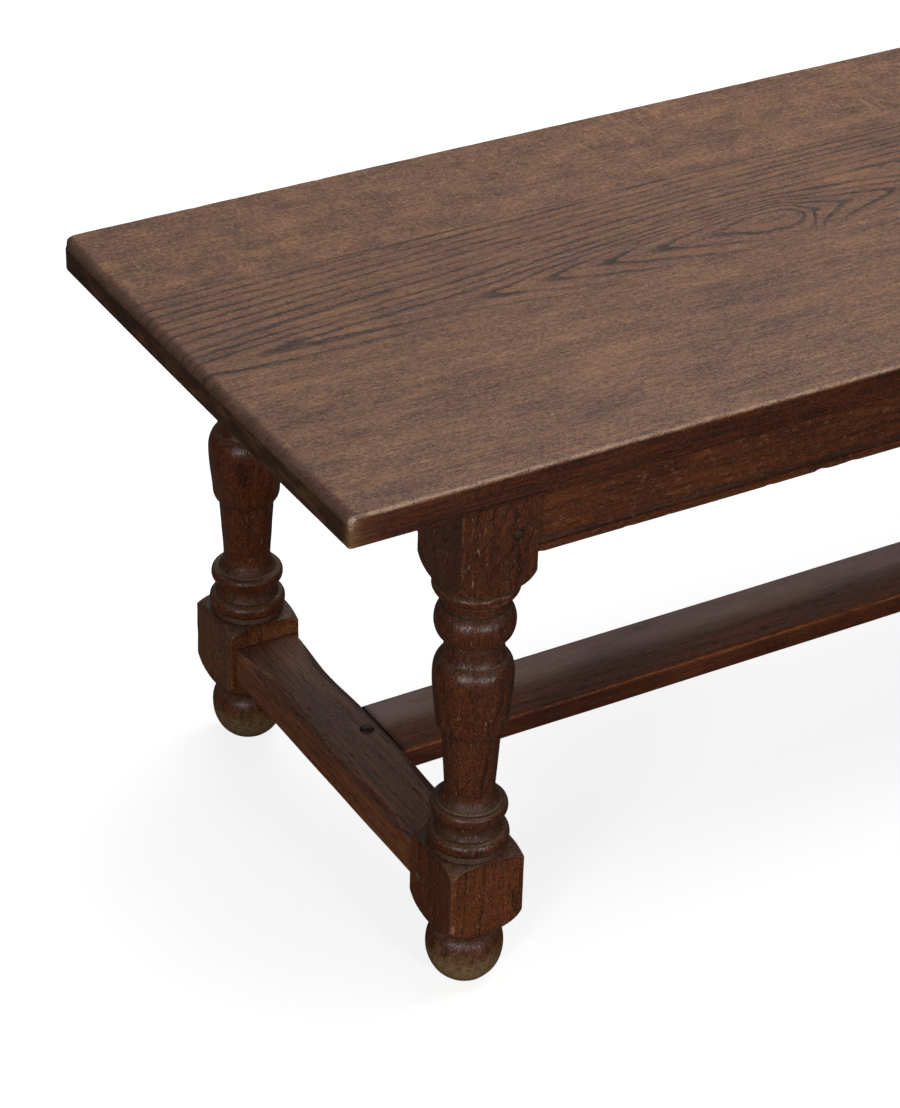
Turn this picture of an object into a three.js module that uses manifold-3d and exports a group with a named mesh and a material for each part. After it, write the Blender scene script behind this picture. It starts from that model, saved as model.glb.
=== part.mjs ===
// A joined oak coffee table: a boarded top on four turned legs, with moulded aprons,
// two cross stretchers at the ends and one long stretcher pegged between them.
// Millimetres, +Z up. The origin is on the floor under the middle of the top,
// +X runs along the length and -Y is the front.

import * as THREE from "three";
import { mergeVertices } from "three/addons/utils/BufferGeometryUtils.js";
import Module from "manifold-3d";

// Overall sizes
const tableLength = 1200;
const tableDepth = 487;
const tableHeight = 497;
const topThickness = 26;
const endOverhang = 106; // from the legs' outer faces to the ends of the top
const sideOverhang = 20.5; // from the legs' outer faces to the long edges
const fitGap = 0.3; // clearance between pieces that seat on each other
const overrun = 4; // how far a cutter runs past the face it cuts

// Boards of the top, edges and corners
const rearBoardWidth = 133.5;
const middleBoardWidth = 137;
const endRound = 9.3; // the worn upper arris of the ends
const sideRound = 3; // the upper arris of the long edges
const lowerRound = 1.5;
const endBow = 2.5; // how far the middle of an end stands out past its corners
const rearCornerRound = 12;
const frontCornerRound = 5;
const endRoundSteps = 5;
const cornerSteps = 4;
const bowSteps = 4;
const tongueThickness = 6;
const tongueWidth = 24;
const tongueEndStop = 45; // the loose tongues stop short of the ends

// Legs: square blanks, turned between and below the blocks
const blockWidth = 66;
const legSegments = 20;
const footHeight = 51.5;
const footRadius = 31.4;
const footWidest = 33; // height of the widest part above the floor
const footPadRadius = 6;
const footTopRadius = 22.5;
const ankleRadius = 25.4;
const ankleHeight = 9;
const lowerBlockHeight = 71; // from the ankle to the middle of the block's domed top
const lowerBlockDome = 7.8; // how far the dome falls to the block's corners
const shoulderRound = 20; // the quarter round where a block meets the turning
const lowerRingGap = 4;
const lowerRingHeight = 13.2;
const lowerRingRadius = 32.8;
const ringNeckRadius = 28;
const coveHeight = 14.2;
const coveRadius = 25.6; // at the hollow's deepest
const coveLipRadius = 27.3;
const upperRingHeight = 10.6;
const upperRingRadius = 30.9;
const flareHeight = 15.4;
const flareRadius = 25.4;
const taperFootRadius = 20.1;
const taperHeadRadius = 23.4;
const stepHeight = 11; // the rounded underside of the vase
const vaseFootRadius = 28.6;
const vaseRadius = 31.8;
const vaseLipRadius = 25.9;
const neckHeight = 17.6;
const neckRadius = 23;
const ballHeight = 28.6;
const ballRadius = 31.5;
const ballSeatRadius = 23.8;
const filletHeight = 10.8;
const filletRadius = 25.6;
const filletHeadRadius = 27.8;
const beadHeight = 12.3;
const beadRadius = 34;
const upperBlockHeight = 92; // from the underside of the top to the middle of a face
const pullShare = 1 / 3; // how far along a bend its curve is pulled to
const domeInnerShare = 0.94; // of half the blank
const stepFootShare = 0.44; // of the taper and the vase together
const vaseShares = [
  [0.28, 0.5],
  [0.54, 0.84],
]; // of the vase's height, and of its swell from foot to widest
const vaseShoulderShare = 0.3;
const shoulderStart = Math.PI / 20; // the bead hides the first of the shoulder's round
const footSteps = 5;
const shoulderSteps = 3;
const ringSteps = 4;
const ballSteps = 5;
const bendSteps = 2;

// Aprons: a sunk field over a proud lip
const apronHeight = 65.5;
const apronThickness = 22;
const apronSetback = 4.5; // from the legs' outer faces to the field
const lipProud = 2.6;
const lipHeight = 6.5;
const lipSlope = 4.5;
const lipRound = 1.8;
const lipSteps = 3;
const buttonGrooveWidth = 8;
const buttonGrooveDepth = 8;
const buttonGrooveDrop = 12; // from the underside of the top to the groove
const apronTenonThickness = 10;
const apronTenonLength = 38;
const apronTenonFoot = 10; // shoulder below the tenon
const apronTenonHead = 14; // shoulder above the tenon

// Cross stretchers, between the legs of one end
const crossWidth = 58;
const crossThickness = 31.5;
const crossHeight = 82.5; // underside above the floor
const crossTenonThickness = 14;
const crossTenonLength = 40;
const crossTenonShoulder = 4;
const chamferStop = 62; // length of the swept stop at each leg
const chamferSwellWidth = 11;
const chamferSwellDepth = 7;
const chamferWaistWidth = 6;
const chamferWaistDepth = 3.6;
const chamferStopWidth = 0.8; // the arris left whole at the legs
const chamferEase = 70; // length over which the swell falls to the waist
const stopSteps = 4;
const easeSteps = 3;

// Long stretcher, between the cross stretchers
const longWidth = 74;
const longThickness = 21.4;
const longHeight = 90.6; // underside above the floor
const longWearWidth = 24; // the front of its top slopes where feet have rested
const longWearDepth = 1.9;
const longRearChamfer = 3.4;
const longTenonThickness = 9;
const longTenonWidth = 44;
const longTenonLength = 38;

// Pegs
const pegRadius = 4;
const pegLength = 30;
const pegProud = 0.6;
const pegPoint = 3; // length of the whittled point
const pegSides = 8;
const domeSteps = 2;
const apronPegInset = 18; // from the shoulder of the apron
const apronPegHeight = 23; // above the underside of the apron
const frontCrossPegInset = 13; // from the shoulder of the cross stretcher
const rearCrossPegInset = 20;
const frontCrossPegDrop = 20.5; // below the top of the cross stretcher
const rearCrossPegDrop = 16;
const crossPegLength = 43;
const pinRadius = 5.5; // the pin that locks the long stretcher
const pinInset = 14.8; // from the inner edge of the cross stretcher
const pinDepth = 26;
const pinDome = 2.4;
const pinSides = 10;

// Buttons and screws that hold the top down
const buttonLength = 34; // along the apron
const buttonReach = 28; // out from the apron
const buttonThickness = 20;
const buttonsPerSide = 2;
const buttonSpread = 420; // between the buttons of one long apron
const endButtonInset = 31; // from the front seam into the middle board
const screwRadius = 2.1;
const screwHeadRadius = 4.4;
const screwHeadHeight = 2.6;
const screwFaceShare = 0.7; // of the head's radius
const screwBite = 15; // into the top
const screwPoint = 6;
const screwSides = 8;

// Places that follow from the sizes
const underside = tableHeight - topThickness;
const blockHalf = blockWidth / 2;
const legX = tableLength / 2 - endOverhang - blockHalf;
const legY = tableDepth / 2 - sideOverhang - blockHalf;
const shoulderX = legX - blockHalf - fitGap;
const shoulderY = legY - blockHalf - fitGap;
const apronTop = underside - fitGap;
const apronFoot = underside - apronHeight;
const crossTop = crossHeight + crossThickness;
const longTop = longHeight + longThickness;
const rearSeam = tableDepth / 2 - rearBoardWidth;
const frontSeam = rearSeam - middleBoardWidth;
const tongueMiddle = underside + topThickness / 2;

const wasm = await Module();
wasm.setup();

function toSolid(geometry) {
  const bare = geometry.clone();
  bare.deleteAttribute("normal");
  bare.deleteAttribute("uv");
  const merged = mergeVertices(bare);
  return new wasm.Manifold(
    new wasm.Mesh({
      numProp: 3,
      vertProperties: merged.attributes.position.array,
      triVerts: new Uint32Array(merged.index.array),
    }),
  );
}

function toGeometry(solid) {
  const mesh = solid.getMesh();
  const geometry = new THREE.BufferGeometry();
  geometry.setAttribute("position", new THREE.BufferAttribute(mesh.vertProperties, 3));
  geometry.setIndex(new THREE.BufferAttribute(mesh.triVerts, 1));
  geometry.computeVertexNormals();
  return geometry;
}

// The block between two opposite corners, whichever way round they are given.
function block(cornerA, cornerB) {
  const box = new THREE.Box3().setFromPoints([
    new THREE.Vector3(...cornerA),
    new THREE.Vector3(...cornerB),
  ]);
  const size = box.getSize(new THREE.Vector3());
  const middle = box.getCenter(new THREE.Vector3());
  const geometry = new THREE.BoxGeometry(size.x, size.y, size.z);
  geometry.translate(middle.x, middle.y, middle.z);
  return toSolid(geometry);
}

const point = (radius, height) => new THREE.Vector2(radius, height);

// Points of an arc in the plane of a turning: radius across, height up.
function arc(radius, height, acrossRadius, upRadius, from, to, steps) {
  const ellipse = new THREE.EllipseCurve(radius, height, acrossRadius, upRadius, from, to, to < from);
  return ellipse.getPoints(steps);
}

// A bend from one point to another, pulled towards a third.
function bend(start, pull, end, steps) {
  return new THREE.QuadraticBezierCurve(start, pull, end).getPoints(steps);
}

// A profile that starts and ends on the axis, turned about +Z. One vertex lies on each
// diagonal of the square blank where the segments allow it.
function turned(profile, segments) {
  const geometry = new THREE.LatheGeometry(profile, segments, Math.PI / 4);
  return geometry.rotateX(Math.PI / 2);
}

// A closed skin over rings of equal count. Each ring turns anticlockwise as seen from
// the end that the rings run to.
function loft(rings) {
  const count = rings[0].length;
  const last = rings.length - 1;
  const index = [];
  for (let k = 0; k < last; k++) {
    for (let i = 0; i < count; i++) {
      const a = k * count + i;
      const b = k * count + ((i + 1) % count);
      index.push(a, b, b + count, a, b + count, a + count);
    }
  }
  for (let i = 1; i < count - 1; i++) {
    index.push(0, i + 1, i);
    index.push(last * count, last * count + i, last * count + i + 1);
  }
  const geometry = new THREE.BufferGeometry().setFromPoints(rings.flat());
  geometry.setIndex(index);
  return geometry;
}

// Top

// The outline of the top at one level, drawn in by an inset at the ends and the sides.
function topOutline(endInset, sideInset, height) {
  const corners = [
    { x: 1, y: -1, round: frontCornerRound, from: -Math.PI / 2 },
    { x: 1, y: 1, round: rearCornerRound, from: 0 },
    { x: -1, y: 1, round: rearCornerRound, from: Math.PI / 2 },
    { x: -1, y: -1, round: frontCornerRound, from: Math.PI },
  ];
  const endX = tableLength / 2 - endInset - endBow;
  const sideY = tableDepth / 2 - sideInset;
  const outline = [];
  corners.forEach(({ x, y, round, from }) => {
    const middle = point(x * (endX - round), y * (sideY - round));
    outline.push(...arc(middle.x, middle.y, round, round, from, from + Math.PI / 2, cornerSteps));
    if (x === y) return;
    const nextRound = x > 0 ? rearCornerRound : frontCornerRound;
    const startY = middle.y;
    const stopY = -y * (sideY - nextRound);
    for (let i = 1; i < bowSteps; i++) {
      const along = startY + ((stopY - startY) * i) / bowSteps;
      const bow = endBow * (1 - (along / sideY) ** 2);
      outline.push(point(x * (endX + bow), along));
    }
  });
  return outline.map((p) => new THREE.Vector3(p.x, p.y, height));
}

// How far a quarter round has drawn in at a height under its upper face.
function roundInset(round, depth) {
  if (depth >= round) return 0;
  return round - Math.sqrt(round ** 2 - (round - depth) ** 2);
}

function wholeTop() {
  const rings = [
    topOutline(lowerRound, lowerRound, underside),
    topOutline(0, 0, underside + lowerRound),
  ];
  for (let i = 0; i <= endRoundSteps; i++) {
    const turn = (Math.PI / 2) * (i / endRoundSteps);
    const depth = endRound * (1 - Math.sin(turn));
    const endInset = endRound * (1 - Math.cos(turn));
    rings.push(topOutline(endInset, roundInset(sideRound, depth), tableHeight - depth));
  }
  return toSolid(loft(rings));
}

function tongueRoom(seam, clearance) {
  const reach = tableLength / 2 - tongueEndStop + clearance;
  const across = tongueWidth / 2 + clearance;
  const up = tongueThickness / 2 + clearance;
  return block(
    [-reach, seam - across, tongueMiddle - up],
    [reach, seam + across, tongueMiddle + up],
  );
}

// One board, between two lines along the length, with its grooves and pilot holes.
function board(whole, fromY, toY) {
  const endX = tableLength / 2 + overrun;
  const slab = block(
    [-endX, fromY, underside - overrun],
    [endX, toY, tableHeight + overrun],
  );
  let solid = whole.intersect(slab);
  [rearSeam, frontSeam].forEach((seam) => {
    solid = solid.subtract(tongueRoom(seam, fitGap));
  });
  buttonPlaces.forEach(({ screwX, screwY }) => {
    solid = solid.subtract(pilotHole(screwX, screwY));
  });
  return toGeometry(solid);
}

// Buttons and screws: the tongue of each button sits in the groove of its apron

const apronInnerX = legX + blockHalf - apronSetback - apronThickness;
const apronInnerY = legY + blockHalf - apronSetback - apronThickness;
const screwOut = buttonReach / 2;
const screwFoot = underside - fitGap - buttonThickness - fitGap;

const buttonPlaces = [];
[-1, 1].forEach((side) => {
  for (let i = 0; i < buttonsPerSide; i++) {
    const along = buttonsPerSide > 1 ? i / (buttonsPerSide - 1) - 1 / 2 : 0;
    buttonPlaces.push({
      name: `${side < 0 ? "front" : "rear"}_${i + 1}`,
      x: along * buttonSpread,
      y: side * apronInnerY,
      turn: side < 0 ? 0 : Math.PI,
      screwX: along * buttonSpread,
      screwY: side * (apronInnerY - fitGap - screwOut),
    });
  }
});
[-1, 1].forEach((side) => {
  buttonPlaces.push({
    name: side < 0 ? "left" : "right",
    x: side * apronInnerX,
    y: frontSeam + endButtonInset,
    turn: (side * Math.PI) / 2,
    screwX: side * (apronInnerX - fitGap - screwOut),
    screwY: frontSeam + endButtonInset,
  });
});

function screwRod(radius, from, to) {
  const rod = new THREE.CylinderGeometry(radius, radius, to - from, screwSides);
  return rod.rotateX(Math.PI / 2).translate(0, 0, (from + to) / 2);
}

function pilotHole(x, y) {
  const top = underside + screwBite + fitGap;
  const rod = screwRod(screwRadius + fitGap, underside - overrun, top);
  return toSolid(rod.translate(x, y, 0));
}

// A button for an apron on the front side: it reaches out along +Y, its tongue along -Y.
function buttonGeometry() {
  const head = underside - fitGap;
  const foot = head - buttonThickness;
  const tongueTop = underside - buttonGrooveDrop - fitGap;
  const tongueFoot = tongueTop - buttonGrooveWidth + 2 * fitGap;
  const tongueTip = 2 * fitGap - buttonGrooveDepth;
  const outline = new THREE.Shape([
    point(tongueTip, tongueFoot),
    point(fitGap, tongueFoot),
    point(fitGap, foot),
    point(fitGap + buttonReach, foot),
    point(fitGap + buttonReach, head),
    point(fitGap, head),
    point(fitGap, tongueTop),
    point(tongueTip, tongueTop),
  ]);
  const extruded = new THREE.ExtrudeGeometry(outline, { depth: buttonLength, bevelEnabled: false });
  extruded.translate(0, 0, -buttonLength / 2);
  extruded.rotateX(Math.PI / 2);
  extruded.rotateZ(Math.PI / 2);
  const hole = screwRod(screwRadius + fitGap, foot - overrun, head + overrun);
  hole.translate(0, fitGap + screwOut, 0);
  return toGeometry(toSolid(extruded).subtract(toSolid(hole)));
}

function screwGeometry() {
  const tip = underside + screwBite;
  const profile = [
    point(0, screwFoot - screwHeadHeight),
    point(screwHeadRadius * screwFaceShare, screwFoot - screwHeadHeight),
    point(screwHeadRadius, screwFoot),
    point(screwRadius, screwFoot),
    point(screwRadius, tip - screwPoint),
    point(0, tip),
  ];
  return turned(profile, screwSides);
}

// Legs

// The turned profile from the floor to the top of the leg. Where it is wider than the
// blank, the four faces of the blank stay flat.
function legProfile() {
  const ankle = footHeight + ankleHeight;
  const lowerDomeTop = ankle + lowerBlockHeight;
  const lowerRingFoot = lowerDomeTop + lowerRingGap;
  const coveFoot = lowerRingFoot + lowerRingHeight;
  const upperRingFoot = coveFoot + coveHeight;
  const flareFoot = upperRingFoot + upperRingHeight;
  const taperFoot = flareFoot + flareHeight;
  const upperBlockFoot = underside - upperBlockHeight;
  const beadFoot = upperBlockFoot - beadHeight;
  const ballHead = beadFoot - filletHeight;
  const ballFoot = ballHead - ballHeight;
  const vaseHead = ballFoot - neckHeight;
  const vaseReach = vaseHead - taperFoot;
  const stepFoot = taperFoot + vaseReach * stepFootShare;
  const vaseFoot = stepFoot + stepHeight;
  const vaseBody = vaseHead - vaseFoot;
  const vaseShoulder = vaseBody * vaseShoulderShare;
  const corner = blockHalf * Math.SQRT2 + fitGap;
  const shoulderRadius = corner - shoulderRound;
  const footReach = footRadius - footPadRadius;
  const footShoulder = footRadius - footTopRadius;
  const footHead = footHeight - footWidest;
  const lowerShoulder = ankle + shoulderRound;
  const upperShoulder = upperBlockFoot + shoulderRound;
  const shoulderTurn = (height, from) =>
    arc(shoulderRadius, height, shoulderRound, shoulderRound, from, 0, shoulderSteps);
  const right = Math.PI / 2;
  return [
    point(0, 0),
    ...arc(footPadRadius, footWidest, footReach, footWidest, -right, 0, footSteps),
    ...arc(footTopRadius, footWidest, footShoulder, footHead, 0, right, bendSteps).slice(1),
    point(ankleRadius, footHeight + fitGap),
    point(ankleRadius, ankle),
    ...shoulderTurn(lowerShoulder, -right),
    ...bend(
      point(corner, lowerDomeTop - lowerBlockDome),
      point((corner + blockHalf) / 2, lowerDomeTop),
      point(blockHalf * domeInnerShare, lowerDomeTop),
      bendSteps,
    ),
    point(ringNeckRadius + lowerRingGap / 2, lowerRingFoot),
    ...ring(lowerRingFoot, lowerRingHeight, lowerRingRadius, ringNeckRadius),
    ...bend(
      point(coveLipRadius, coveFoot + fitGap),
      point(coveRadius - (coveLipRadius - coveRadius), coveFoot + coveHeight / 2),
      point(coveLipRadius, upperRingFoot - fitGap),
      bendSteps,
    ),
    ...ring(upperRingFoot, upperRingHeight, upperRingRadius, ringNeckRadius),
    ...bend(
      point(flareRadius, flareFoot + fitGap),
      point(taperFootRadius, flareFoot + flareHeight * pullShare),
      point(taperFootRadius, taperFoot),
      bendSteps,
    ),
    point(taperHeadRadius, stepFoot),
    ...bend(
      point(taperHeadRadius + fitGap, stepFoot + fitGap),
      point(vaseFootRadius, stepFoot + stepHeight * pullShare),
      point(vaseFootRadius, vaseFoot),
      bendSteps,
    ),
    ...vaseShares.map(([up, out]) =>
      point(vaseFootRadius + (vaseRadius - vaseFootRadius) * out, vaseFoot + vaseBody * up),
    ),
    ...bend(
      point(vaseRadius, vaseHead - vaseShoulder),
      point(vaseRadius, vaseHead - vaseShoulder * pullShare),
      point(vaseLipRadius, vaseHead),
      bendSteps,
    ),
    ...bend(
      point(vaseLipRadius, vaseHead + fitGap),
      point(neckRadius, vaseHead + neckHeight * pullShare),
      point(neckRadius, ballFoot - fitGap),
      bendSteps,
    ),
    ...arc(
      ballSeatRadius,
      (ballFoot + ballHead) / 2,
      ballRadius - ballSeatRadius,
      ballHeight / 2,
      -right,
      right,
      ballSteps,
    ),
    ...bend(
      point(filletRadius, ballHead + fitGap),
      point(filletRadius, beadFoot),
      point(filletHeadRadius, beadFoot),
      bendSteps,
    ),
    ...bend(
      point(filletHeadRadius + fitGap, beadFoot + fitGap),
      point(beadRadius, beadFoot + beadHeight * pullShare),
      point(beadRadius, upperBlockFoot),
      bendSteps,
    ),
    ...shoulderTurn(upperShoulder, -right + shoulderStart),
    point(corner, apronTop),
    point(0, apronTop),
  ];
}

// A half-round ring that stands out from its neck.
function ring(foot, height, radius, neck) {
  const right = Math.PI / 2;
  return arc(neck, foot + height / 2, radius - neck, height / 2, -right, right, ringSteps);
}

// The room for an apron's tenon in a leg's frame, which has the leg's axis at the origin.
// Along is the sign of the apron's way out of the leg, across the sign of the way from its
// outer face to the middle of the table.
function apronMortise(along, across) {
  const outerCheek = blockHalf - apronSetback - (apronThickness - apronTenonThickness) / 2;
  return {
    mouth: along * (blockHalf + overrun),
    tip: along * (blockHalf - apronTenonLength - fitGap),
    outer: -across * (outerCheek + fitGap),
    inner: -across * (outerCheek - apronTenonThickness - fitGap),
    foot: apronFoot + apronTenonFoot - fitGap,
    head: underside - apronTenonHead + fitGap,
  };
}

function pegRod(radius, length, sides) {
  const rod = new THREE.CylinderGeometry(radius, radius, length, sides);
  return rod.rotateY(Math.PI / sides).rotateX(Math.PI / 2);
}

// A hole that enters at a place and runs along a direction.
function pegHole(place, direction, depth, radius, sides) {
  const length = depth + fitGap + overrun;
  const rod = pegRod(radius + fitGap, length, sides);
  rod.applyQuaternion(
    new THREE.Quaternion().setFromUnitVectors(new THREE.Vector3(0, 0, 1), direction),
  );
  const middle = place.clone().addScaledVector(direction, length / 2 - overrun);
  rod.translate(middle.x, middle.y, middle.z);
  return toSolid(rod);
}

// Where the pegs of one leg enter, in the leg's frame.
function legPegs(inX, inY) {
  const front = inY > 0;
  const apronPegZ = apronFoot + apronPegHeight;
  const crossPegZ = crossTop - (front ? frontCrossPegDrop : rearCrossPegDrop);
  const crossPegInset = front ? frontCrossPegInset : rearCrossPegInset;
  return [
    {
      name: "long_apron",
      place: new THREE.Vector3(inX * (blockHalf - apronPegInset), -inY * blockHalf, apronPegZ),
      direction: new THREE.Vector3(0, inY, 0),
      length: pegLength,
    },
    {
      name: "end_apron",
      place: new THREE.Vector3(-inX * blockHalf, inY * (blockHalf - apronPegInset), apronPegZ),
      direction: new THREE.Vector3(inX, 0, 0),
      length: pegLength,
    },
    {
      name: "cross_stretcher",
      place: new THREE.Vector3(-inX * blockHalf, inY * (blockHalf - crossPegInset), crossPegZ),
      direction: new THREE.Vector3(inX, 0, 0),
      length: crossPegLength,
    },
  ];
}

function legGeometry(inX, inY) {
  const blank = block(
    [-blockHalf, -blockHalf, -overrun],
    [blockHalf, blockHalf, underside + overrun],
  );
  let leg = toSolid(turned(legProfile(), legSegments)).intersect(blank);
  const long = apronMortise(inX, inY);
  const end = apronMortise(inY, inX);
  const halfTenon = crossTenonThickness / 2 + fitGap;
  const crossTip = inY * (blockHalf - crossTenonLength - fitGap);
  const mortises = [
    block([long.mouth, long.outer, long.foot], [long.tip, long.inner, long.head]),
    block([end.outer, end.mouth, end.foot], [end.inner, end.tip, end.head]),
    block(
      [-halfTenon, end.mouth, crossHeight + crossTenonShoulder - fitGap],
      [halfTenon, crossTip, crossTop - crossTenonShoulder + fitGap],
    ),
  ];
  mortises.forEach((mortise) => {
    leg = leg.subtract(mortise);
  });
  legPegs(inX, inY).forEach(({ place, direction, length }) => {
    leg = leg.subtract(pegHole(place, direction, length, pegRadius, pegSides));
  });
  return toGeometry(leg);
}

// Pegs: driven from +Z down, head at the top

function pegGeometry(radius, length, dome, sides) {
  const profile = [
    point(0, -length),
    point(radius / 2, -length),
    point(radius, pegPoint - length),
    ...arc(0, 0, radius, dome, 0, Math.PI / 2, domeSteps),
  ];
  const geometry = new THREE.LatheGeometry(profile, sides, Math.PI / sides);
  return geometry.rotateX(Math.PI / 2);
}

// Aprons: the section is drawn with its outer face towards -Y, then extruded along +X

function apronSection() {
  const field = 0;
  const lip = -lipProud;
  const inner = apronThickness;
  const grooveTop = underside - buttonGrooveDrop;
  const grooveFoot = grooveTop - buttonGrooveWidth;
  const lipTop = apronFoot + lipHeight;
  return new THREE.Shape([
    point(inner, apronFoot),
    point(inner, grooveFoot),
    point(inner - buttonGrooveDepth, grooveFoot),
    point(inner - buttonGrooveDepth, grooveTop),
    point(inner, grooveTop),
    point(inner, apronTop),
    point(field, apronTop),
    point(field, lipTop + lipSlope),
    ...bend(
      point(field, lipTop + lipSlope),
      point(field, lipTop + lipSlope * pullShare),
      point(lip, lipTop),
      bendSteps,
    ).slice(1),
    ...arc(
      lip + lipRound,
      apronFoot + lipRound,
      lipRound,
      lipRound,
      Math.PI,
      Math.PI * 1.5,
      lipSteps,
    ),
  ]);
}

// An apron along +X with a tenon at each end and the peg holes that the legs share.
function apronGeometry(shoulder, reach) {
  const length = 2 * shoulder;
  const extruded = new THREE.ExtrudeGeometry(apronSection(), {
    depth: length,
    bevelEnabled: false,
  });
  extruded.translate(0, 0, -length / 2);
  extruded.rotateX(Math.PI / 2);
  extruded.rotateZ(Math.PI / 2);
  let apron = toSolid(extruded);
  const cheek = (apronThickness - apronTenonThickness) / 2;
  const tip = reach - blockHalf + apronTenonLength;
  [-1, 1].forEach((side) => {
    apron = apron.add(
      block(
        [side * (shoulder - overrun), cheek, apronFoot + apronTenonFoot],
        [side * tip, apronThickness - cheek, underside - apronTenonHead],
      ),
    );
    const place = new THREE.Vector3(
      side * (reach - blockHalf + apronPegInset),
      -apronSetback,
      apronFoot + apronPegHeight,
    );
    const hole = pegHole(place, new THREE.Vector3(0, 1, 0), pegLength, pegRadius, pegSides);
    apron = apron.subtract(hole);
  });
  return toGeometry(apron);
}

// Stretchers

// Between 0 and 1 with level ends.
const smooth = (t) => t * t * (3 - 2 * t);

// The chamfer of a cross stretcher at a distance from its shoulder: it sweeps out of the
// whole arris, swells, and eases to a waist that runs through the middle.
function chamferAt(distance) {
  const swept = smooth(Math.min(distance / chamferStop, 1));
  const eased = smooth(Math.min(Math.max((distance - chamferStop) / chamferEase, 0), 1));
  const width = chamferSwellWidth + (chamferWaistWidth - chamferSwellWidth) * eased;
  const depth = chamferSwellDepth + (chamferWaistDepth - chamferSwellDepth) * eased;
  return {
    width: chamferStopWidth + (width - chamferStopWidth) * swept,
    depth: chamferStopWidth + (depth - chamferStopWidth) * swept,
  };
}

// A cross stretcher along +X, one end's shoulder to the other's.
function crossStretcherBody() {
  const distances = [];
  for (let i = 0; i <= stopSteps; i++) distances.push((chamferStop * i) / stopSteps);
  for (let i = 1; i <= easeSteps; i++) {
    distances.push(chamferStop + (chamferEase * i) / easeSteps);
  }
  const near = distances.filter((distance) => distance < shoulderY);
  const stations = near.map((distance) => distance - shoulderY);
  stations.push(...near.map((distance) => shoulderY - distance).reverse());
  const half = crossWidth / 2;
  const rings = stations.map((x) => {
    const { width, depth } = chamferAt(shoulderY - Math.abs(x));
    return [
      new THREE.Vector3(x, -half, crossHeight),
      new THREE.Vector3(x, half, crossHeight),
      new THREE.Vector3(x, half, crossTop - depth),
      new THREE.Vector3(x, half - width, crossTop),
      new THREE.Vector3(x, width - half, crossTop),
      new THREE.Vector3(x, -half, crossTop - depth),
    ];
  });
  return toSolid(loft(rings));
}

// In its own frame it runs along +X. Its inner side, where the long stretcher enters,
// is on -Y, and frontEnd is the sign of the end at the front of the table.
function crossStretcherGeometry(frontEnd) {
  let stretcher = crossStretcherBody();
  const halfTenon = crossTenonThickness / 2;
  const tip = legY - blockHalf + crossTenonLength;
  stretcher = stretcher.add(
    block(
      [-tip, -halfTenon, crossHeight + crossTenonShoulder],
      [tip, halfTenon, crossTop - crossTenonShoulder],
    ),
  );
  const half = crossWidth / 2;
  const mortiseMiddle = longHeight + longThickness / 2;
  const mortiseReach = longTenonWidth / 2 + fitGap;
  const mortiseRise = longTenonThickness / 2 + fitGap;
  stretcher = stretcher.subtract(
    block(
      [-mortiseReach, -half - overrun, mortiseMiddle - mortiseRise],
      [mortiseReach, longTenonLength - half + fitGap, mortiseMiddle + mortiseRise],
    ),
  );
  const down = new THREE.Vector3(0, 0, -1);
  const pinPlace = new THREE.Vector3(0, pinInset - half, crossTop);
  stretcher = stretcher.subtract(pegHole(pinPlace, down, pinDepth, pinRadius, pinSides));
  [-1, 1].forEach((end) => {
    const front = end === frontEnd;
    const inset = front ? frontCrossPegInset : rearCrossPegInset;
    const drop = front ? frontCrossPegDrop : rearCrossPegDrop;
    const place = new THREE.Vector3(
      end * (legY - blockHalf + inset),
      -crossTenonThickness,
      crossTop - drop,
    );
    const length = 2 * crossTenonThickness;
    const across = new THREE.Vector3(0, 1, 0);
    stretcher = stretcher.subtract(pegHole(place, across, length, pegRadius, pegSides));
  });
  return toGeometry(stretcher);
}

function longStretcherGeometry() {
  const half = longWidth / 2;
  const shoulder = legX - crossWidth / 2 - fitGap;
  const section = (x) => [
    new THREE.Vector3(x, -half, longHeight),
    new THREE.Vector3(x, half, longHeight),
    new THREE.Vector3(x, half, longTop - longRearChamfer),
    new THREE.Vector3(x, half - longRearChamfer, longTop),
    new THREE.Vector3(x, longWearWidth - half, longTop),
    new THREE.Vector3(x, -half, longTop - longWearDepth),
  ];
  let stretcher = toSolid(loft([section(-shoulder), section(shoulder)]));
  const tip = legX - crossWidth / 2 + longTenonLength;
  const middle = longHeight + longThickness / 2;
  stretcher = stretcher.add(
    block(
      [-tip, -longTenonWidth / 2, middle - longTenonThickness / 2],
      [tip, longTenonWidth / 2, middle + longTenonThickness / 2],
    ),
  );
  const down = new THREE.Vector3(0, 0, -1);
  [-1, 1].forEach((side) => {
    const place = new THREE.Vector3(side * (legX - crossWidth / 2 + pinInset), 0, longTop);
    stretcher = stretcher.subtract(pegHole(place, down, longThickness, pinRadius, pinSides));
  });
  return toGeometry(stretcher);
}

// Materials

function wood(color, roughness) {
  return () => new THREE.MeshStandardMaterial({ color, roughness, metalness: 0 });
}

const topWood = wood("#7a6456", 0.45);
const apronWood = wood("#6c4b35", 0.5);
const legWood = wood("#66432f", 0.45);
const stretcherWood = wood("#65503f", 0.5);
const pegWood = wood("#3f2c20", 0.5);
const hiddenWood = wood("#a58660", 0.8);
const steel = () =>
  new THREE.MeshStandardMaterial({ color: "#8a8a88", roughness: 0.4, metalness: 1 });

// Assembly

const table = new THREE.Group();

function put(name, geometry, material, parent = table) {
  const mesh = new THREE.Mesh(geometry, material());
  mesh.name = name;
  parent.add(mesh);
  return mesh;
}

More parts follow.
